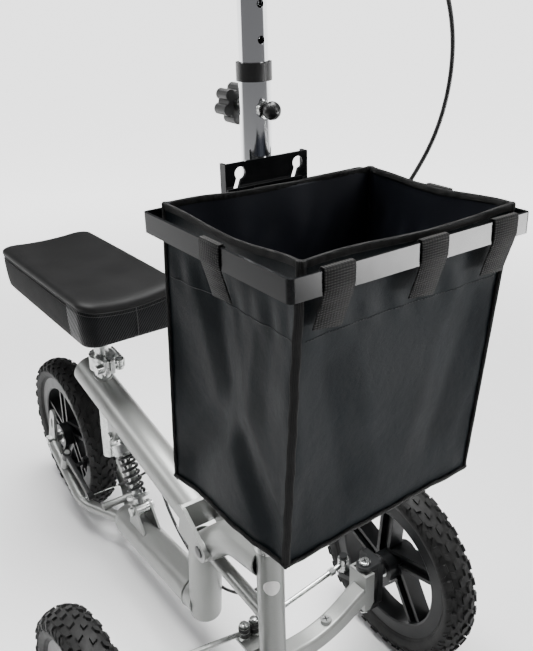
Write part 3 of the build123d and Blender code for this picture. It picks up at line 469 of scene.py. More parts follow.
def flat_print(name, color, roughness):
    """Printed film in one plain colour."""
    mat, tree, shader = new_material(name, color, roughness)
    at = object_coords(tree)
    dark = tuple(c * 0.9 for c in color)
    mottle(tree, shader, at, (200, 4), dark, color)
    add_bump(tree, shader, noise_of(tree, at, 700, 3), 0.0001, 0.3)
    return mat


MATS = {
    "silver": silver_paint(), "zinc": zinc_plate(), "chrome": chrome_plate(), "black": black_paint(),
    "plastic": wheel_plastic(), "tyre": tyre_rubber(), "cloth": bag_cloth(), "lining": bag_lining(),
    "webbing": webbing(), "binding": webbing("binding", 260, 0.012), "leather": pad_leather(),
    "twill": pad_twill(), "strip": basket_strip(),
    "cable": moulded("cable_cover", (0.006, 0.006, 0.006), 0.4),
    "rubber": moulded("soft_rubber", (0.016, 0.016, 0.016), 0.66),
    "knob": moulded("knob_plastic", (0.012, 0.012, 0.012), 0.34),
    "gloss": black_paint("gloss_black", 0.22),
    "thread": moulded("thread", (0.045, 0.047, 0.048), 0.7),
    # the pad's side band: a darker, less glossy copy of the top's leatherette, which is painted shade
    "pad_side_shaded": pad_leather("pad_side_shaded", 0.35, 0.03),
    "sticker": flat_print("sticker_white", (0.86, 0.85, 0.83), 0.3),
}

NODE_MATERIAL = {
    "silver": ["main_post", "lower_beam", "rear_yoke", "front_tube", "brace_tube", "head_tube",
               "axle_beam", "kingpin_brackets", "shock_bracket", "knee_arm", "arm_clevis",
               "shock_top_bracket", "pitman_arm"],
    "zinc": ["headset_cups", "rear_axle", "frame_bolts", "kingpin_bolts", "arm_pins", "seat_sleeve",
             "seat_clamp", "clamp_skewer", "seat_post", "clamp_lever", "shock_body", "shock_shaft",
             "steering_shaft", "plunger_housing", "tie_rod_left", "tie_rod_right"],
    "chrome": ["column_tube", "inner_tube", "handlebar"],
    "gloss": ["basket_plate"],
    "black": ["seat_pan", "brake_lever", "brake_arm_left", "brake_arm_right", "shock_spring",
              "knuckle_left", "knuckle_right"],
    "knob": ["column_collar", "lever_clamp", "pull_pin", "star_knob"],
    "strip": ["basket_frame"],
    "rubber": ["grips", "brake_cable_low", "brake_cable_high"],
    "plastic": [wheel + "_rim" for wheel in WHEELS],
}
NODE_MATERIAL["zinc"] += [wheel + "_bearings" for wheel in WHEELS]


def dress_nodes():
    for key, names in NODE_MATERIAL.items():
        for name in names:
            node = NODES[name]
            node.data.materials.clear()
            node.data.materials.append(MATS[key])


# ---- mesh helpers ----
def make_piece(name, points, faces, material, body, slot, smooth=True):
    """New piece on a body; material is one name in MATS or a list of them."""
    mesh = bpy.data.meshes.new(name)
    mesh.from_pydata([tuple(p) for p in points], [], faces)
    mesh.validate()
    piece = bpy.data.objects.new(name, mesh)
    bpy.context.collection.objects.link(piece)
    for m in material if isinstance(material, list) else [material]:
        mesh.materials.append(MATS[m])
    mesh.polygons.foreach_set("use_smooth", [smooth] * len(mesh.polygons))
    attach(piece, body)
    return piece


def modifier(piece, kind, **settings):
    added = piece.modifiers.new(kind.lower(), kind)
    for key, value in settings.items():
        setattr(added, key, value)


def grid_faces(rows, columns, closed_columns=False):
    """Quads of a grid whose points are listed row by row."""
    faces = []
    for r in range(rows - 1):
        for c in range(columns if closed_columns else columns - 1):
            n = (c + 1) % columns
            here, above = r * columns, (r + 1) * columns
            faces.append((here + c, here + n, above + n, above + c))
    return faces


def sweep_section(path, section, upright, closed=False):
    """Points and faces of a section swept along a path; its second axis leans towards upright."""
    points, count = [], len(path)
    for i, at in enumerate(path):
        ahead = path[(i + 1) % count] if closed or i < count - 1 else at
        behind = path[i - 1] if closed or i else at
        along = (ahead - behind).normalized()
        side = along.cross(upright).normalized()
        up = side.cross(along).normalized()
        points += [at + side * a + up * b for a, b in section]
    rows = count + 1 if closed else count
    wide = len(section)
    faces = [tuple(v % len(points) for v in f) for f in grid_faces(rows, wide, True)]
    if not closed:
        faces.append(tuple(reversed(range(wide))))
        faces.append(tuple(range(len(points) - wide, len(points))))
    return points, faces


def axes_about(axis):
    """An axis and two directions across it, all of unit length."""
    axis = Vector(axis).normalized()
    first = axis.orthogonal().normalized()
    return axis, first, axis.cross(first)


def ellipse(a, b, count, power=1.0):
    """Section with half axes a and b; a power under 1 squares it."""
    out = []
    for i in range(count):
        angle = 2 * math.pi * i / count
        c, s = math.cos(angle), math.sin(angle)
        out.append((a * math.copysign(abs(c) ** power, c), b * math.copysign(abs(s) ** power, s)))
    return out


def join_parts(parts):
    """One list of points and one of faces from several."""
    points, faces = [], []
    for p, f in parts:
        faces += [tuple(v + len(points) for v in face) for face in f]
        points += p
    return points, faces


# ---- tyres ----
LUGS = 36
CASING_R, CASING_RISE, CASING_HALF = 0.1345, 0.0185, 0.0258
BEAD = [(0.1185, -0.0165), (0.1212, -0.0196), (0.1232, -0.0200), (0.1244, -0.0226)]
BEAD_FOOT = [(0.1140, 0.0150), (0.1140, -0.0150)]
WHEEL_TURN = {"front_left": 4, "front_right": -3, "rear": 1}


def casing(angle):
    """(radius, y, outward r, outward y) on the tyre's section; 0 is the crown, 90 the sidewall."""
    a = math.radians(angle)
    c, s = math.cos(a), math.sin(a)
    return CASING_R + CASING_RISE * c, CASING_HALF * s, c, s


def lug(turn, half_turn, near, far, height, steps, skew):
    """A raised block on the tyre from section angle near to far, tapered towards its top."""
    points = []
    for level, rise, narrow in ((0, -0.0012, 1.0), (1, height, 0.80)):
        for s in range(steps):
            share = s / (steps - 1)
            pull = 2.2 * level * (1 if share == 0 else -1 if share == 1 else 0)
            pull *= 1 if far > near else -1
            r, y, out_r, out_y = casing(near + (far - near) * share + pull)
            for side in (-1, 1):
                angle = turn + side * half_turn * narrow + skew * (share - 0.5)
                points.append(Vector(((r + out_r * rise) * math.cos(angle), y + out_y * rise,
                                      (r + out_r * rise) * math.sin(angle))))
    top = 2 * steps
    faces = []
    for s in range(steps - 1):
        a, b = 2 * s, 2 * s + 2
        faces.append((top + a, top + a + 1, top + b + 1, top + b))
        faces.append((a, b, top + b, top + a))
        faces.append((a + 1, top + a + 1, top + b + 1, b + 1))
    faces.append((0, top, top + 1, 1))
    end = 2 * (steps - 1)
    faces.append((end, end + 1, top + end + 1, top + end))
    return points, faces


def tyre_mesh():
    """Casing, bead and lugs of one tyre, centred on its axle along Y."""
    outline = BEAD + [casing(a)[:2] for a in range(-105, 106, 7)]
    outline += [(r, -y) for r, y in reversed(BEAD)] + BEAD_FOOT
    around = 144
    points = []
    for i in range(around):
        a = 2 * math.pi * i / around
        points += [Vector((r * math.cos(a), y, r * math.sin(a))) for r, y in outline]
    faces = grid_faces(around + 1, len(outline), True)
    parts = [(points, [tuple(v % len(points) for v in face) for face in faces])]
    pitch = 2 * math.pi / LUGS
    for i in range(LUGS):
        for side in (-1, 1):
            wide = pitch * (0.30 if i % 2 else 0.24)
            edge = 64 if i % 2 else 58
            blocks = [  # pitches round, half width, two section angles, height, steps, skew
                (0, pitch * 0.22, 3, 22, 0.0040, 2, 0.18),
                (0.5, pitch * 0.18, 25, 41, 0.0038, 2, -0.12),
                (0, wide, 44, edge, 0.0040, 3, 0),
                (0, wide * 0.8, edge + 1, 84, 0.0011, 3, 0.25),
                (0.5, pitch * 0.07, 52, 90, 0.0010, 4, 0.5),
            ]
            for offset, half, near, far, height, steps, skew in blocks:
                turn = pitch * (i + side * 0.25 + offset)
                block = lug(turn, half, side * near, side * far, height, steps, side * pitch * skew)
                parts.append(block)
    return join_parts(parts)


def add_tyres():
    points, faces = tyre_mesh()
    for wheel in WHEELS:
        middle = centre_of(wheel + "_tyre")
        turned = Matrix.Rotation(math.radians(WHEEL_TURN[wheel]), 3, "Y")
        placed = [turned @ p + middle for p in points]
        name, body = wheel + "_tread", wheel + "_wheel"
        piece = make_piece(name, placed, faces, "tyre", body, "tyre", smooth=False)
        modifier(piece, "BEVEL", width=0.0006, segments=1, limit_method="ANGLE",
                 angle_limit=math.radians(40))
        piece.data.polygons.foreach_set("use_smooth", [True] * len(piece.data.polygons))
        modifier(piece, "WEIGHTED_NORMAL", keep_sharp=True)
        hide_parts(wheel + "_tyre")


# ---- knee pad ----
def rounded_outline(half_x, half_y, corner):
    """Closed outline of a rounded rectangle about the origin, evenly stepped along each part."""
    per_corner, per_side = 10, 8

    def on_corner(quarter, share):
        x_sign, y_sign = ((1, 1), (-1, 1), (-1, -1), (1, -1))[quarter % 4]
        a = math.radians(90 * (quarter + share))
        centre = Vector((x_sign * (half_x - corner), y_sign * (half_y - corner)))
        return centre + corner * Vector((math.cos(a), math.sin(a)))

    out = []
    for quarter in range(4):
        out += [on_corner(quarter, i / per_corner) for i in range(per_corner + 1)]
        last, first = out[-1], on_corner(quarter + 1, 0)
        out += [last.lerp(first, i / (per_side + 1)) for i in range(1, per_side + 1)]
    return out


PAD_MID = (PAD_LOW + PAD_HIGH) / 2
PAD_HALF_X = (PAD_HIGH.x - PAD_LOW.x) / 2
PAD_HALF_Y = (PAD_HIGH.y - PAD_LOW.y) / 2
PAD_CORNER = 0.027
PAD_BOWL, PAD_WING = 0.0735, 0.0125
TWILL_REACH = 0.068


def pad_top(x, y):
    """Height of the pad's top above its underside: a bowl with raised sides, higher in front."""
    side = min(1.0, abs(y) / PAD_HALF_Y)
    ahead = (x / PAD_HALF_X + 1) / 2
    return PAD_BOWL + PAD_WING * side ** 2 * (0.55 + 0.45 * ahead)


def pad_ring(inset, height, swell):
    """One ring of the pad, which bows out by swell along its sides."""
    corner = max(0.006, PAD_CORNER - inset * 0.3)
    outline = rounded_outline(PAD_HALF_X - inset, PAD_HALF_Y - inset, corner)
    ring = []
    for p in outline:
        bow = swell * (1 - (p.x / PAD_HALF_X) ** 4)
        rise = height(p.x, p.y) if callable(height) else height
        y = PAD_MID.y + p.y + math.copysign(bow, p.y)
        ring.append(Vector((PAD_MID.x + p.x, y, PAD_LOW.z + rise)))
    return ring


SEAM_DROP = 0.0185
PAD_SIDE = [(0.030, 0.0002), (0.010, 0.0004), (0.0055, 0.002), (0.0040, 0.008), (0.0020, 0.026)]
PAD_ROLL = [(0.0024, 0.0172), (0.0006, 0.0150), (0.0004, 0.0110), (0.0022, 0.0070), (0.0066, 0.0034),
            (0.0140, 0.0012), (0.0240, 0.0002)]


def below_top(drop):
    return lambda x, y: pad_top(x, y) - drop


def add_pad():
    """Cushion with a side band, a seam all round, and a rolled edge round the bowl of its top."""
    rings = [pad_ring(inset, height, 0.0005) for inset, height in PAD_SIDE]
    rings.append(pad_ring(0.0010, below_top(SEAM_DROP + 0.006), 0.001))
    rings.append(pad_ring(0.0030, below_top(SEAM_DROP + 0.0012), 0.001))
    seam_row = len(rings)
    rings += [pad_ring(inset, below_top(drop), 0.001) for inset, drop in PAD_ROLL]
    columns = len(rings[0])
    points = [p for ring in rings for p in ring]
    for share in (0.84, 0.68, 0.52, 0.36, 0.20, 0.06):
        for p in rings[-1]:
            x, y = (p.x - PAD_MID.x) * share, (p.y - PAD_MID.y) * share
            points.append(Vector((PAD_MID.x + x, PAD_MID.y + y, PAD_LOW.z + pad_top(x, y))))
    rows = len(points) // columns
    faces = grid_faces(rows, columns, True)
    faces.append(tuple(range(len(points) - columns, len(points))))
    faces.append(tuple(reversed(range(columns))))
    # the side band behind the twill gets the darker copy of the top's leatherette: painted shade
    looks = ["leather", "twill", "pad_side_shaded"]
    piece = make_piece("pad_cover", points, faces, looks, "seat", "pad_cover")
    for polygon in piece.data.polygons:
        row = min(polygon.vertices) // columns
        if 1 <= row < seam_row - 1:
            at_front = polygon.center.x - PAD_MID.x > PAD_HALF_X - TWILL_REACH
            polygon.material_index = looks.index("twill" if at_front else "pad_side_shaded")
    modifier(piece, "SUBSURF", levels=1, render_levels=2)
    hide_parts("knee_pad")
    seam = pad_ring(0.0022, below_top(SEAM_DROP - 0.0006), 0.001)
    lower = pad_ring(0.0012, below_top(SEAM_DROP + 0.0052), 0.001)
    cords = [sweep_section(seam, ellipse(0.0008, 0.0007, 6), Vector((0, 0, 1)), closed=True),
             sweep_section(lower, ellipse(0.0004, 0.0004, 5), Vector((0, 0, 1)), closed=True)]
    for sign in (-1, 1):
        x = PAD_MID.x + sign * (PAD_HALF_X - 0.0022)
        line = [Vector((x + sign * out, PAD_MID.y + 0.004, PAD_LOW.z + h)) for out, h in
                ((-0.002, 0.004), (-0.0008, 0.012), (0.0002, 0.026), (0.0008, 0.045), (0.0, 0.0555))]
        cords.append(sweep_section(line, ellipse(0.0009, 0.0006, 6), Vector((sign, 0, 0))))
    make_piece("pad_seams", *join_parts(cords), "rubber", "seat", "pad_cover")


# ---- bag ----
# Its walls and their corners are numbered 0 right, 1 front, 2 left, 3 back.
OUTWARD = [Vector((0, -1, 0)), Vector((1, 0, 0)), Vector((0, 1, 0)), Vector((-1, 0, 0))]
CORNER_SIGNS = [(-1, -1), (1, -1), (1, 1), (-1, 1)]
BAG_RIM = [
    Vector((BAG_LOW.x + 0.008, BAG_LOW.y + 0.009)),
    Vector((BAG_HIGH.x - 0.002, BAG_LOW.y + 0.011)),
    Vector((BAG_HIGH.x - 0.002, BAG_HIGH.y - 0.015)),
    Vector((BAG_LOW.x + 0.028, BAG_HIGH.y - 0.016)),
]
BAG_BASE = [
    Vector((BAG_LOW.x, BAG_LOW.y + 0.001)),
    Vector((BAG_HIGH.x - 0.031, BAG_LOW.y + 0.011)),
    Vector((BAG_HIGH.x - 0.042, BAG_HIGH.y - 0.002)),
    Vector((BAG_LOW.x, BAG_HIGH.y)),
]
HEM_Z = BAG_HIGH.z - 0.072


def bag_corner(side, t):
    """Where the corner at the start of a wall is, at height share t from the floor to the rim."""
    return BAG_BASE[side % 4].lerp(BAG_RIM[side % 4], t)


def tent(value, width):
    return max(0.0, 1.0 - abs(value) / width)


def crease(u, v, a, b, width):
    """Height of a fold that runs from a to b in a panel's (u, v), fading at its ends."""
    du, dv = b[0] - a[0], b[1] - a[1]
    length = math.hypot(du, dv)
    along = ((u - a[0]) * du + (v - a[1]) * dv) / length ** 2
    off = ((u - a[0]) * dv - (v - a[1]) * du) / length
    fade = max(0.0, min(1.0, along * 5, (1 - along) * 5)) if -0.05 < along < 1.05 else 0.0
    return fade * tent(off, width)


def panel_shape(side, u, v):
    """How far a panel stands inwards at (u, v); u runs along the panel, v up from the floor."""
    hollow = 0.007 * math.sin(math.pi * u) * math.sin(math.pi * v)
    ripple = 0.0010 * math.sin(u * 46 + 3 * math.sin(v * 9)) * tent(v - 0.80, 0.09)
    soft = 0.006 * noise.noise(Vector((u * 2.3 + 7 * side, v * 2.9, side * 3.1)))
    depth = (hollow + ripple + soft) * min(1.0, u * 14, (1 - u) * 14)
    if side == 0:
        depth += 0.006 * crease(u, v, (0.30, 0.95), (0.52, 0.40), 0.12)
        depth += 0.006 * crease(u, v, (0.52, 0.42), (0.94, 0.02), 0.10)
        depth += 0.005 * crease(u, v, (0.52, 0.42), (0.06, 0.04), 0.10)
        depth -= 0.003 * crease(u, v, (0.70, 0.90), (0.66, 0.35), 0.12)
    if side == 1:
        depth += 0.004 * crease(u, v, (0.10, 0.80), (0.32, 0.05), 0.16)
        depth += 0.005 * crease(u, v, (0.93, 0.88), (0.72, 0.10), 0.13)
    return depth


def bag_wall(side, u, v):
    """Point on one of the bag's four walls, u along it and v up from the floor."""
    inward = -OUTWARD[side].xy
    at = bag_corner(side, v).lerp(bag_corner(side + 1, v), u)
    depth = panel_shape(side, u, v)
    if side == 3:
        depth += 0.003 * math.sin(u * 21) * tent(v - 0.85, 0.3)
    at = at + inward * max(-0.002, depth)
    z = BAG_LOW.z + (BAG_HIGH.z - BAG_LOW.z) * v
    dip = 0.0035 * math.sin(math.pi * u) ** 2 * (1.3 if side in (0, 2) else 0.6)
    return Vector((at.x, at.y, z - dip * v ** 3))


def add_bag():
    across, rows = 44, 56
    points = []
    for r in range(rows + 1):
        for side in range(4):
            for c in range(across):
                points.append(bag_wall(side, c / across, r / rows))
    ring = 4 * across
    faces = grid_faces(rows + 1, ring, True)
    floor_start = len(points)
    floor = []
    for i in range(across + 1):
        for j in range(across + 1):
            u, w = i / across, j / across
            if i == 0:
                floor.append(3 * across + (across - j) if j else 0)
            elif j == 0:
                floor.append(i if i < across else across)
            elif i == across:
                floor.append(across + j if j < across else 2 * across)
            elif j == across:
                floor.append(3 * across - i)
            else:
                sag = 0.004 * math.sin(math.pi * u) * math.sin(math.pi * w)
                at = BAG_BASE[0].lerp(BAG_BASE[1], u).lerp(BAG_BASE[3].lerp(BAG_BASE[2], u), w)
                points.append(Vector((at.x, at.y, BAG_LOW.z + 0.002 + sag)))
                floor.append(len(points) - 1)
    floor = [v % ring if v < floor_start else v for v in floor]
    wide = across + 1
    for i in range(across):
        for j in range(across):
            a, b = i * wide + j, (i + 1) * wide + j
            faces.append((floor[a], floor[b], floor[b + 1], floor[a + 1]))
    piece = make_piece("bag_shell", points, faces, ["cloth", "lining"], "steering", "bag_cloth")
    modifier(piece, "SOLIDIFY", thickness=0.0012, offset=-1, material_offset=1, material_offset_rim=0)
    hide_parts("basket_bag")


def edge_path(side):
    """Points up one vertical edge of the bag, a little inside its corner."""
    x_sign, y_sign = CORNER_SIGNS[side]
    count, out = 28, -0.0008
    path = []
    for i in range(count + 1):
        at = bag_wall(side, 0.0, i / count)
        wave = 0.0003 * math.sin(i * 1.9 + side)
        path.append(at + Vector((x_sign * (out + wave), y_sign * (out - wave), 0)))
    return path


def floor_path(side):
    """Points along one bottom edge of the bag."""
    path, count = [], 24
    for i in range(count + 1):
        at = bag_wall(side, i / count, 0.0)
        path.append(at + Vector((0, 0, -0.0002 + 0.0006 * math.sin(i * 1.7 + side))))
    return path


def add_bindings():
    """Tape sewn over the bag's vertical and bottom edges, and round its rim."""
    strips = []
    for side in range(4):
        diagonal = Vector((*CORNER_SIGNS[side], 0)).normalized()
        strips.append(sweep_section(edge_path(side), ellipse(0.0042, 0.0022, 10, 0.7), diagonal))
        slope = (OUTWARD[side] + Vector((0, 0, -0.6))).normalized()
        strips.append(sweep_section(floor_path(side), ellipse(0.0045, 0.0020, 10, 0.7), slope))
    make_piece("bag_binding", *join_parts(strips), "binding", "steering", "webbing")
    rim = []
    for side in range(4):
        rim += [bag_wall(side, c / 30, 1.0) + Vector((0, 0, -0.0030)) for c in range(30)]
    section = ellipse(0.0016, 0.0036, 14, 0.6)
    points, faces = sweep_section(rim, section, Vector((0, 0, 1)), closed=True)
    make_piece("bag_rim_tape", points, faces, "binding", "steering", "webbing")


STITCH_LONG, STITCH_R = 0.0026, 0.00035


def stitch(at, along, out):
    """One stitch, which stands a little off the cloth in its middle."""
    end = along * STITCH_LONG / 2
    path = [at - end + out * 0.0001, at + out * 0.0004, at + end + out * 0.0001]
    return sweep_section(path, ellipse(STITCH_R, STITCH_R, 5), out)


def add_stitches():
    """Row of stitches along the hem, all round."""
    rows = []
    hem = (HEM_Z - BAG_LOW.z) / (BAG_HIGH.z - BAG_LOW.z)
    for side in range(4):
        for c in range(3, 68):
            u = c / 70
            a, b = bag_wall(side, u, hem), bag_wall(side, u + 0.006, hem)
            rows.append(stitch(a, (b - a).normalized(), OUTWARD[side]))
    make_piece("bag_stitches", *join_parts(rows), "thread", "steering", "bag_cloth")


# ---- webbing straps ----
RING_TOP, STRIP_TALL = 0.818, 0.020
STRAP_HALF_WIDTH, STRAP_HALF_THICK, STRAP_TAIL = 0.0155, 0.0008, 0.033
STRAPS = [  # name, wall, place along the wall, sideways slant of the tail
    ("right", 0, AXLE_X + 0.1655, 0.002),
    ("front_a", 1, -0.100, -0.005),
    ("front_b", 1, 0.0025, -0.004),
    ("front_c", 1, 0.0905, -0.003),
    ("left", 2, AXLE_X + 0.1655, 0.002),
]


def strap_path(side, place, slant):
    """Path of a loop: up outside the frame's strip from the wall, over its top and down inside."""
    along = Vector((0, 1, 0)) if side == 1 else Vector((1, 0, 0))
    bar = (-RING_LOW.y, RING_HIGH.x, RING_HIGH.y)[side]
    top, bottom = RING_TOP, RING_TOP - STRIP_TALL
    line = [(-0.0085, bottom - STRAP_TAIL), (-0.0052, bottom - 0.0200), (-0.0012, bottom - 0.0050),
            (0.0012, bottom + 0.0040), (0.0014, top - 0.0020), (0.0008, top + 0.0014),
            (-0.0038, top + 0.0016), (-0.0054, top - 0.0010), (-0.0066, top - 0.012)]
    path = []
    for reach, z in line:
        shift = slant * max(0.0, (bottom - z)) / STRAP_TAIL
        path.append(OUTWARD[side] * (bar + reach) + along * (place + shift) + Vector((0, 0, z)))
    return path, along


def add_straps():
    """Webbing loops that hang the bag on the frame's strip."""
    w, t = STRAP_HALF_WIDTH, STRAP_HALF_THICK
    band = [(-t, -w), (-t, w), (t, w), (t, -w)]
    for name, side, place, slant in STRAPS:
        path, along = strap_path(side, place, slant)
        fine_path = [a.lerp(b, i / 3) for a, b in zip(path, path[1:]) for i in range(3)]
        points, faces = sweep_section(fine_path + [path[-1]], band, along)
        piece = make_piece("strap_" + name, points, faces, "webbing", "steering", "webbing")
        modifier(piece, "BEVEL", width=0.0004, segments=1, limit_method="ANGLE")
    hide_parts("bag_straps")


# ---- welds ----
WELD_STEP = 0.0016
HEAD_FOOT_Z = box_of("head_tube")[0].z + 0.0016
WELDS = [  # name, centre, axis, radius, body, thickness, how far the ring leans towards -X
    ("weld_head_foot", (COLUMN_X, 0, HEAD_FOOT_Z), (0, 0, 1), 0.0192, "frame", 0.0018, 0),
    ("weld_post_beam", (AXLE_X - 0.1945, 0, 0.0945), (1, 0, 0.044), 0.0298, "frame", 0.0018, 0),
    ("weld_sleeve", (AXLE_X - 0.4874, 0, 0.3735), (0.087, 0, 0.996), 0.0158, "swing_arm", 0.0020, 0.23),
]


def weld_bead(name, centre, axis, radius, body, thick, lean):
    """A rippled weld bead round a tube."""
    axis, first, second = axes_about(axis)
    count = max(12, int(radius * 2 * math.pi / WELD_STEP))
    path = []
    for i in range(count + 1):
        a = 2 * math.pi * i / count
        offset = (first * math.cos(a) + second * math.sin(a)) * radius
        path.append(Vector(centre) + offset - axis * offset.x * lean)
    points, ring = [], 8
    for i, at in enumerate(path):
        ahead, behind = path[min(i + 1, count)], path[max(i - 1, 0)]
        along = (ahead - behind).normalized()
        side = along.cross(axis).normalized()
        up = side.cross(along)
        swell = thick * (0.82 + 0.22 * abs(math.sin(i * 1.35)))
        for k in range(ring):
            b = 2 * math.pi * k / ring
            points.append(at + side * swell * math.cos(b) + up * swell * math.sin(b))
    make_piece(name, points, grid_faces(count + 1, ring, True), "silver", body, "silver_paint")


def add_welds():
    for weld in WELDS:
        weld_bead(*weld)


# ---- brake cable ----
CABLE_LOW = [
    (-0.518, 0.014, 0.111), (-0.518, 0.058, 0.111), (-0.505, 0.084, 0.128), (-0.462, 0.074, 0.158),
    (-0.415, 0.052, 0.166), (-0.362, 0.041, 0.136), (-0.308, 0.039, 0.1), (-0.246, 0.038, 0.084),
    (-0.184, 0.036, 0.09), (-0.128, 0.033, 0.118), (-0.078, 0.031, 0.158), (-0.036, 0.031, 0.206),
    (-0.012, 0.03, 0.262), (-0.0011, 0.0276, 0.318), (0.0001, 0.026, 0.372), (0.0021, 0.0237, 0.418),
    (-0.023, 0.0536, 0.424),
]
CABLE_HIGH = [
    (-0.023, 0.0536, 0.424), (-0.0519, 0.0881, 0.436), (-0.0545, 0.0912, 0.484), (-0.04, 0.086, 0.545),
    (-0.03, 0.092, 0.592), (-0.014, 0.112, 0.646), (0.006, 0.142, 0.694), (0.026, 0.176, 0.74),
    (0.044, 0.206, 0.788), (0.058, 0.23, 0.842), (0.064, 0.242, 0.902), (0.066, 0.238, 0.962),
    (0.066, 0.214, 1.018), (0.064, 0.168, 1.058), (0.06, 0.11, 1.08), (0.056, 0.05, 1.086),
    (0.052, -0.01, 1.084), (0.05, -0.06, 1.083), (0.05, -0.104, 1.083),
]
CABLE_R = 0.0026


def route_curve(name, route, thick):
    """Mesh of a smooth spline with the route's points as its control points.

    It is a tube of radius thick, or a bare line if thick is 0.
    """
    curve = bpy.data.curves.new(name, "CURVE")
    curve.dimensions = "3D"
    spline = curve.splines.new("NURBS")
    spline.points.add(len(route) - 1)
    for point, (x, y, z) in zip(spline.points, route):
        point.co = (x + AXLE_X, y, z, 1)
    spline.order_u = 3
    spline.use_endpoint_u = True
    spline.resolution_u = 10
    curve.bevel_depth = thick
    curve.bevel_resolution = 4
    curve.use_fill_caps = thick > 0
    source = bpy.data.objects.new(name + "_path", curve)
    bpy.context.collection.objects.link(source)
    bpy.context.view_layer.update()
    evaluated = source.evaluated_get(bpy.context.evaluated_depsgraph_get())
    mesh = bpy.data.meshes.new_from_object(evaluated)
    bpy.data.objects.remove(source)
    return mesh


def cable_mesh(name, route):
    """Tube along the route's smooth spline."""
    line = [tuple(v.co) for v in route_curve(name, route, 0).vertices]
    mesh = route_curve(name, route, CABLE_R)
    piece = bpy.data.objects.new(name, mesh)
    bpy.context.collection.objects.link(piece)
    mesh.materials.clear()
    mesh.materials.append(MATS["cable"])
    mesh.polygons.foreach_set("use_smooth", [True] * len(mesh.polygons))
    return piece


def add_cable():
    """Both halves of the brake cable, and the bare wire's end."""
    low = cable_mesh("cable_low", CABLE_LOW)
    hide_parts("brake_cable_low")
    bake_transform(low)
    high = cable_mesh("cable_high", CABLE_HIGH)
    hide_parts("brake_cable_high")
    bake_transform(high)
    x, y, z = CABLE_LOW[0]
    wire = [Vector((AXLE_X + x, y - 0.0155 * i, z)) for i in range(6)]
    points, faces = sweep_section(wire, ellipse(0.0009, 0.0009, 8), Vector((0, 0, 1)))
    make_piece("brake_wire", points, faces, "zinc", "frame", "zinc")


# ---- small details ----
def recess_shade_cross(at, normal, size=0.0042):
    """Phillips recess of a screw head, as a shallow dark cross of black paint: painted shade of the
    recess.
    """
    normal = Vector(normal).normalized()
    first = normal.orthogonal().normalized()
    first = (first + normal.cross(first) * 0.4).normalized()
    second = normal.cross(first)
    parts = []
    for a, b in ((first, second), (second, first)):
        points = [Vector(at) + a * (size * i) + b * (size * 0.17 * j) + normal * k
                  for k in (-0.0004, 0.00012) for i, j in ((-1, -1), (1, -1), (1, 1), (-1, 1))]
        faces = [(4, 5, 6, 7), (0, 3, 2, 1), (0, 1, 5, 4), (1, 2, 6, 5), (2, 3, 7, 6), (3, 0, 4, 7)]
        parts.append((points, faces))
    return join_parts(parts)


def add_recess_shade_crosses():
    """Painted shade of the cross recesses on top of the kingpin bolts and of the beam's two screws, as
    dark crosses.
    """
    parts = []
    bolt_z, screw_z = box_of("kingpin_bolts")[1].z - 0.0001, 0.1456
    for side in (-1, 1):
        parts.append(recess_shade_cross((AXLE_X + 0.018, side * 0.174, bolt_z), (0, 0, 1)))
        parts.append(recess_shade_cross((AXLE_X + 0.021, side * 0.097, screw_z), (0, 0, 1), 0.0052))
    # the crosses are black paint on the screw heads: painted shade where the recesses would be dark
    make_piece("screw_recess_shade", *join_parts(parts), "black", "frame", "black_steel", smooth=False)


def disc_points(at, axis, profile):
    """Turned shape about axis; profile is (radius, height) from one end to the other."""
    axis, first, second = axes_about(axis)
    points, count = [], 28
    for radius, rise in profile:
        for i in range(count):
            a = 2 * math.pi * i / count
            out = first * math.cos(a) + second * math.sin(a)
            points.append(at + axis * rise + out * radius)
    faces = grid_faces(len(profile), count, True)
    faces.append(tuple(reversed(range(count))))
    faces.append(tuple(range(len(points) - count, len(points))))
    return points, faces


PIVOT_X, PIVOT_Z, PIVOT_END = AXLE_X - 0.116, 0.243, 0.034
BOSS = [(0.0136, -0.0030), (0.0136, -0.0012), (0.0126, -0.0004), (0.0100, -0.0004), (0.0094, -0.0012)]
PLUG = [(0.0092, -0.0020), (0.0092, 0.0004), (0.0082, 0.0010), (0.0040, 0.0012)]
BOOT = [(0.0078, 0.0), (0.0086, 0.0006), (0.0087, 0.0080), (0.0083, 0.0092), (0.0087, 0.0104),
        (0.0087, 0.0166), (0.0080, 0.0174)]
SCREW = [(0.0068, 0), (0.0070, 0.0014), (0.0058, 0.0028), (0.0028, 0.0034)]
STUD_X, STUD_Y, BOOT_Z, SCREW_Z = AXLE_X - 0.038, 0.009, 0.1286, 0.1490


def add_pivot_caps():
    """Round silver boss and black plug at each end of the knee arm's pivot."""
    for name, profile, material, slot in (("pivot_bosses", BOSS, "silver", "silver_paint"),
                                          ("pivot_plugs", PLUG, "knob", "black_plastic")):
        ends = [disc_points(Vector((PIVOT_X, side * PIVOT_END, PIVOT_Z)), (0, side, 0), profile)
                for side in (-1, 1)]
        make_piece(name, *join_parts(ends), material, "swing_arm", slot)


def add_rod_boots():
    """Black rubber boot on the inner ball joint of each tie rod, and the screws above them."""
    screws = []
    for name, y in (("left", STUD_Y), ("right", -STUD_Y)):
        points, faces = disc_points(Vector((STUD_X, y, BOOT_Z)), (0, 0, 1), BOOT)
        make_piece("rod_boot_" + name, points, faces, "rubber", "tie_rod_" + name, "rubber")
        screws.append(disc_points(Vector((STUD_X, y, SCREW_Z)), (0, 0, 1), SCREW))
    make_piece("rod_screws", *join_parts(screws), "zinc", "steering", "zinc")


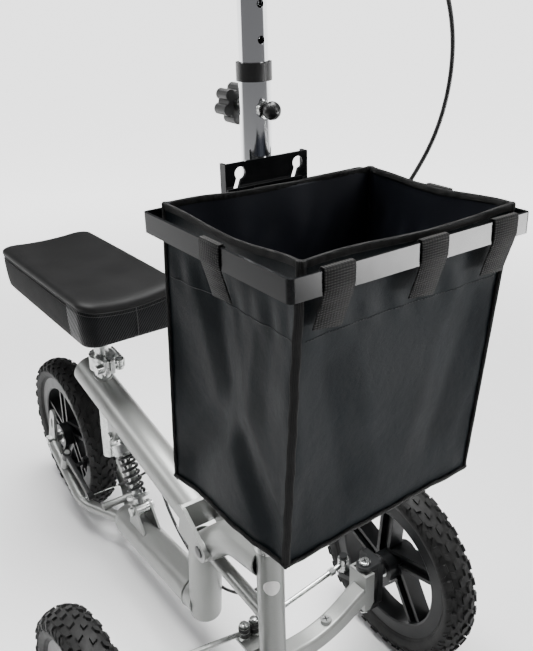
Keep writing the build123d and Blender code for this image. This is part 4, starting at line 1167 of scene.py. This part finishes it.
SHOCK_FOOT = Vector((AXLE_X - 0.384, 0, 0.144))
SHOCK_HEAD = Vector((AXLE_X - 0.444, 0, 0.272))
SPRING_START, SPRING_TALL, SPRING_R, SPRING_WIRE = 0.0302, 0.082, 0.0138, 0.0028
SPRING_TURNS, SPRING_LEFT = 7, 0.695


def add_spring():
    """Coil spring of the shock."""
    axis, first, second = axes_about(SHOCK_HEAD - SHOCK_FOOT)
    start, steps = SHOCK_FOOT + axis * SPRING_START, 26
    path = []
    for i in range(SPRING_TURNS * steps + 1):
        angle = 2 * math.pi * i / steps
        out = first * math.cos(angle) + second * math.sin(angle)
        path.append(start + out * SPRING_R + axis * SPRING_TALL * i / (SPRING_TURNS * steps))
    points, faces = sweep_section(path, ellipse(SPRING_WIRE, SPRING_WIRE, 10), axis)
    piece = make_piece("spring_coil", points, faces, "black", "shock_lower", "black_steel")
    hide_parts("shock_spring")
    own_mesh(piece)


LABEL_TUBE_R, LABEL_R, LABEL_Z, LABEL_TURN = 0.01905, 0.0122, 0.2745, -30


def add_round_label():
    """Plain pale round label on the front of the head tube."""
    points, rows = [], 9
    for i in range(rows):
        for j in range(rows):
            u, v = 2 * i / (rows - 1) - 1, 2 * j / (rows - 1) - 1
            x, y = u * math.sqrt(1 - v * v / 2), v * math.sqrt(1 - u * u / 2)
            angle = math.radians(LABEL_TURN) + x * LABEL_R / LABEL_TUBE_R
            out = Vector((math.cos(angle), math.sin(angle), 0)) * LABEL_TUBE_R
            points.append(Vector((COLUMN_X, 0, LABEL_Z + y * LABEL_R)) + out)
    piece = make_piece("head_label", points, grid_faces(rows, rows), "sticker", "frame", "silver_paint")
    modifier(piece, "SOLIDIFY", thickness=0.00015, offset=1)


def add_edge_rounding():
    """Round the sheared edges of the basket's strip, so that they catch the light."""
    for name in ("basket_frame", "basket_plate"):
        modifier(NODES[name], "BEVEL", width=0.0006, segments=3, limit_method="ANGLE")


dress_nodes()
add_camera()
add_floor()
add_backdrop()
add_studio()
add_tyres()
add_pad()
add_bag()
add_bindings()
add_stitches()
add_straps()
add_welds()
add_cable()
add_recess_shade_crosses()
add_edge_rounding()
add_pivot_caps()
add_rod_boots()
add_spring()
add_round_label()
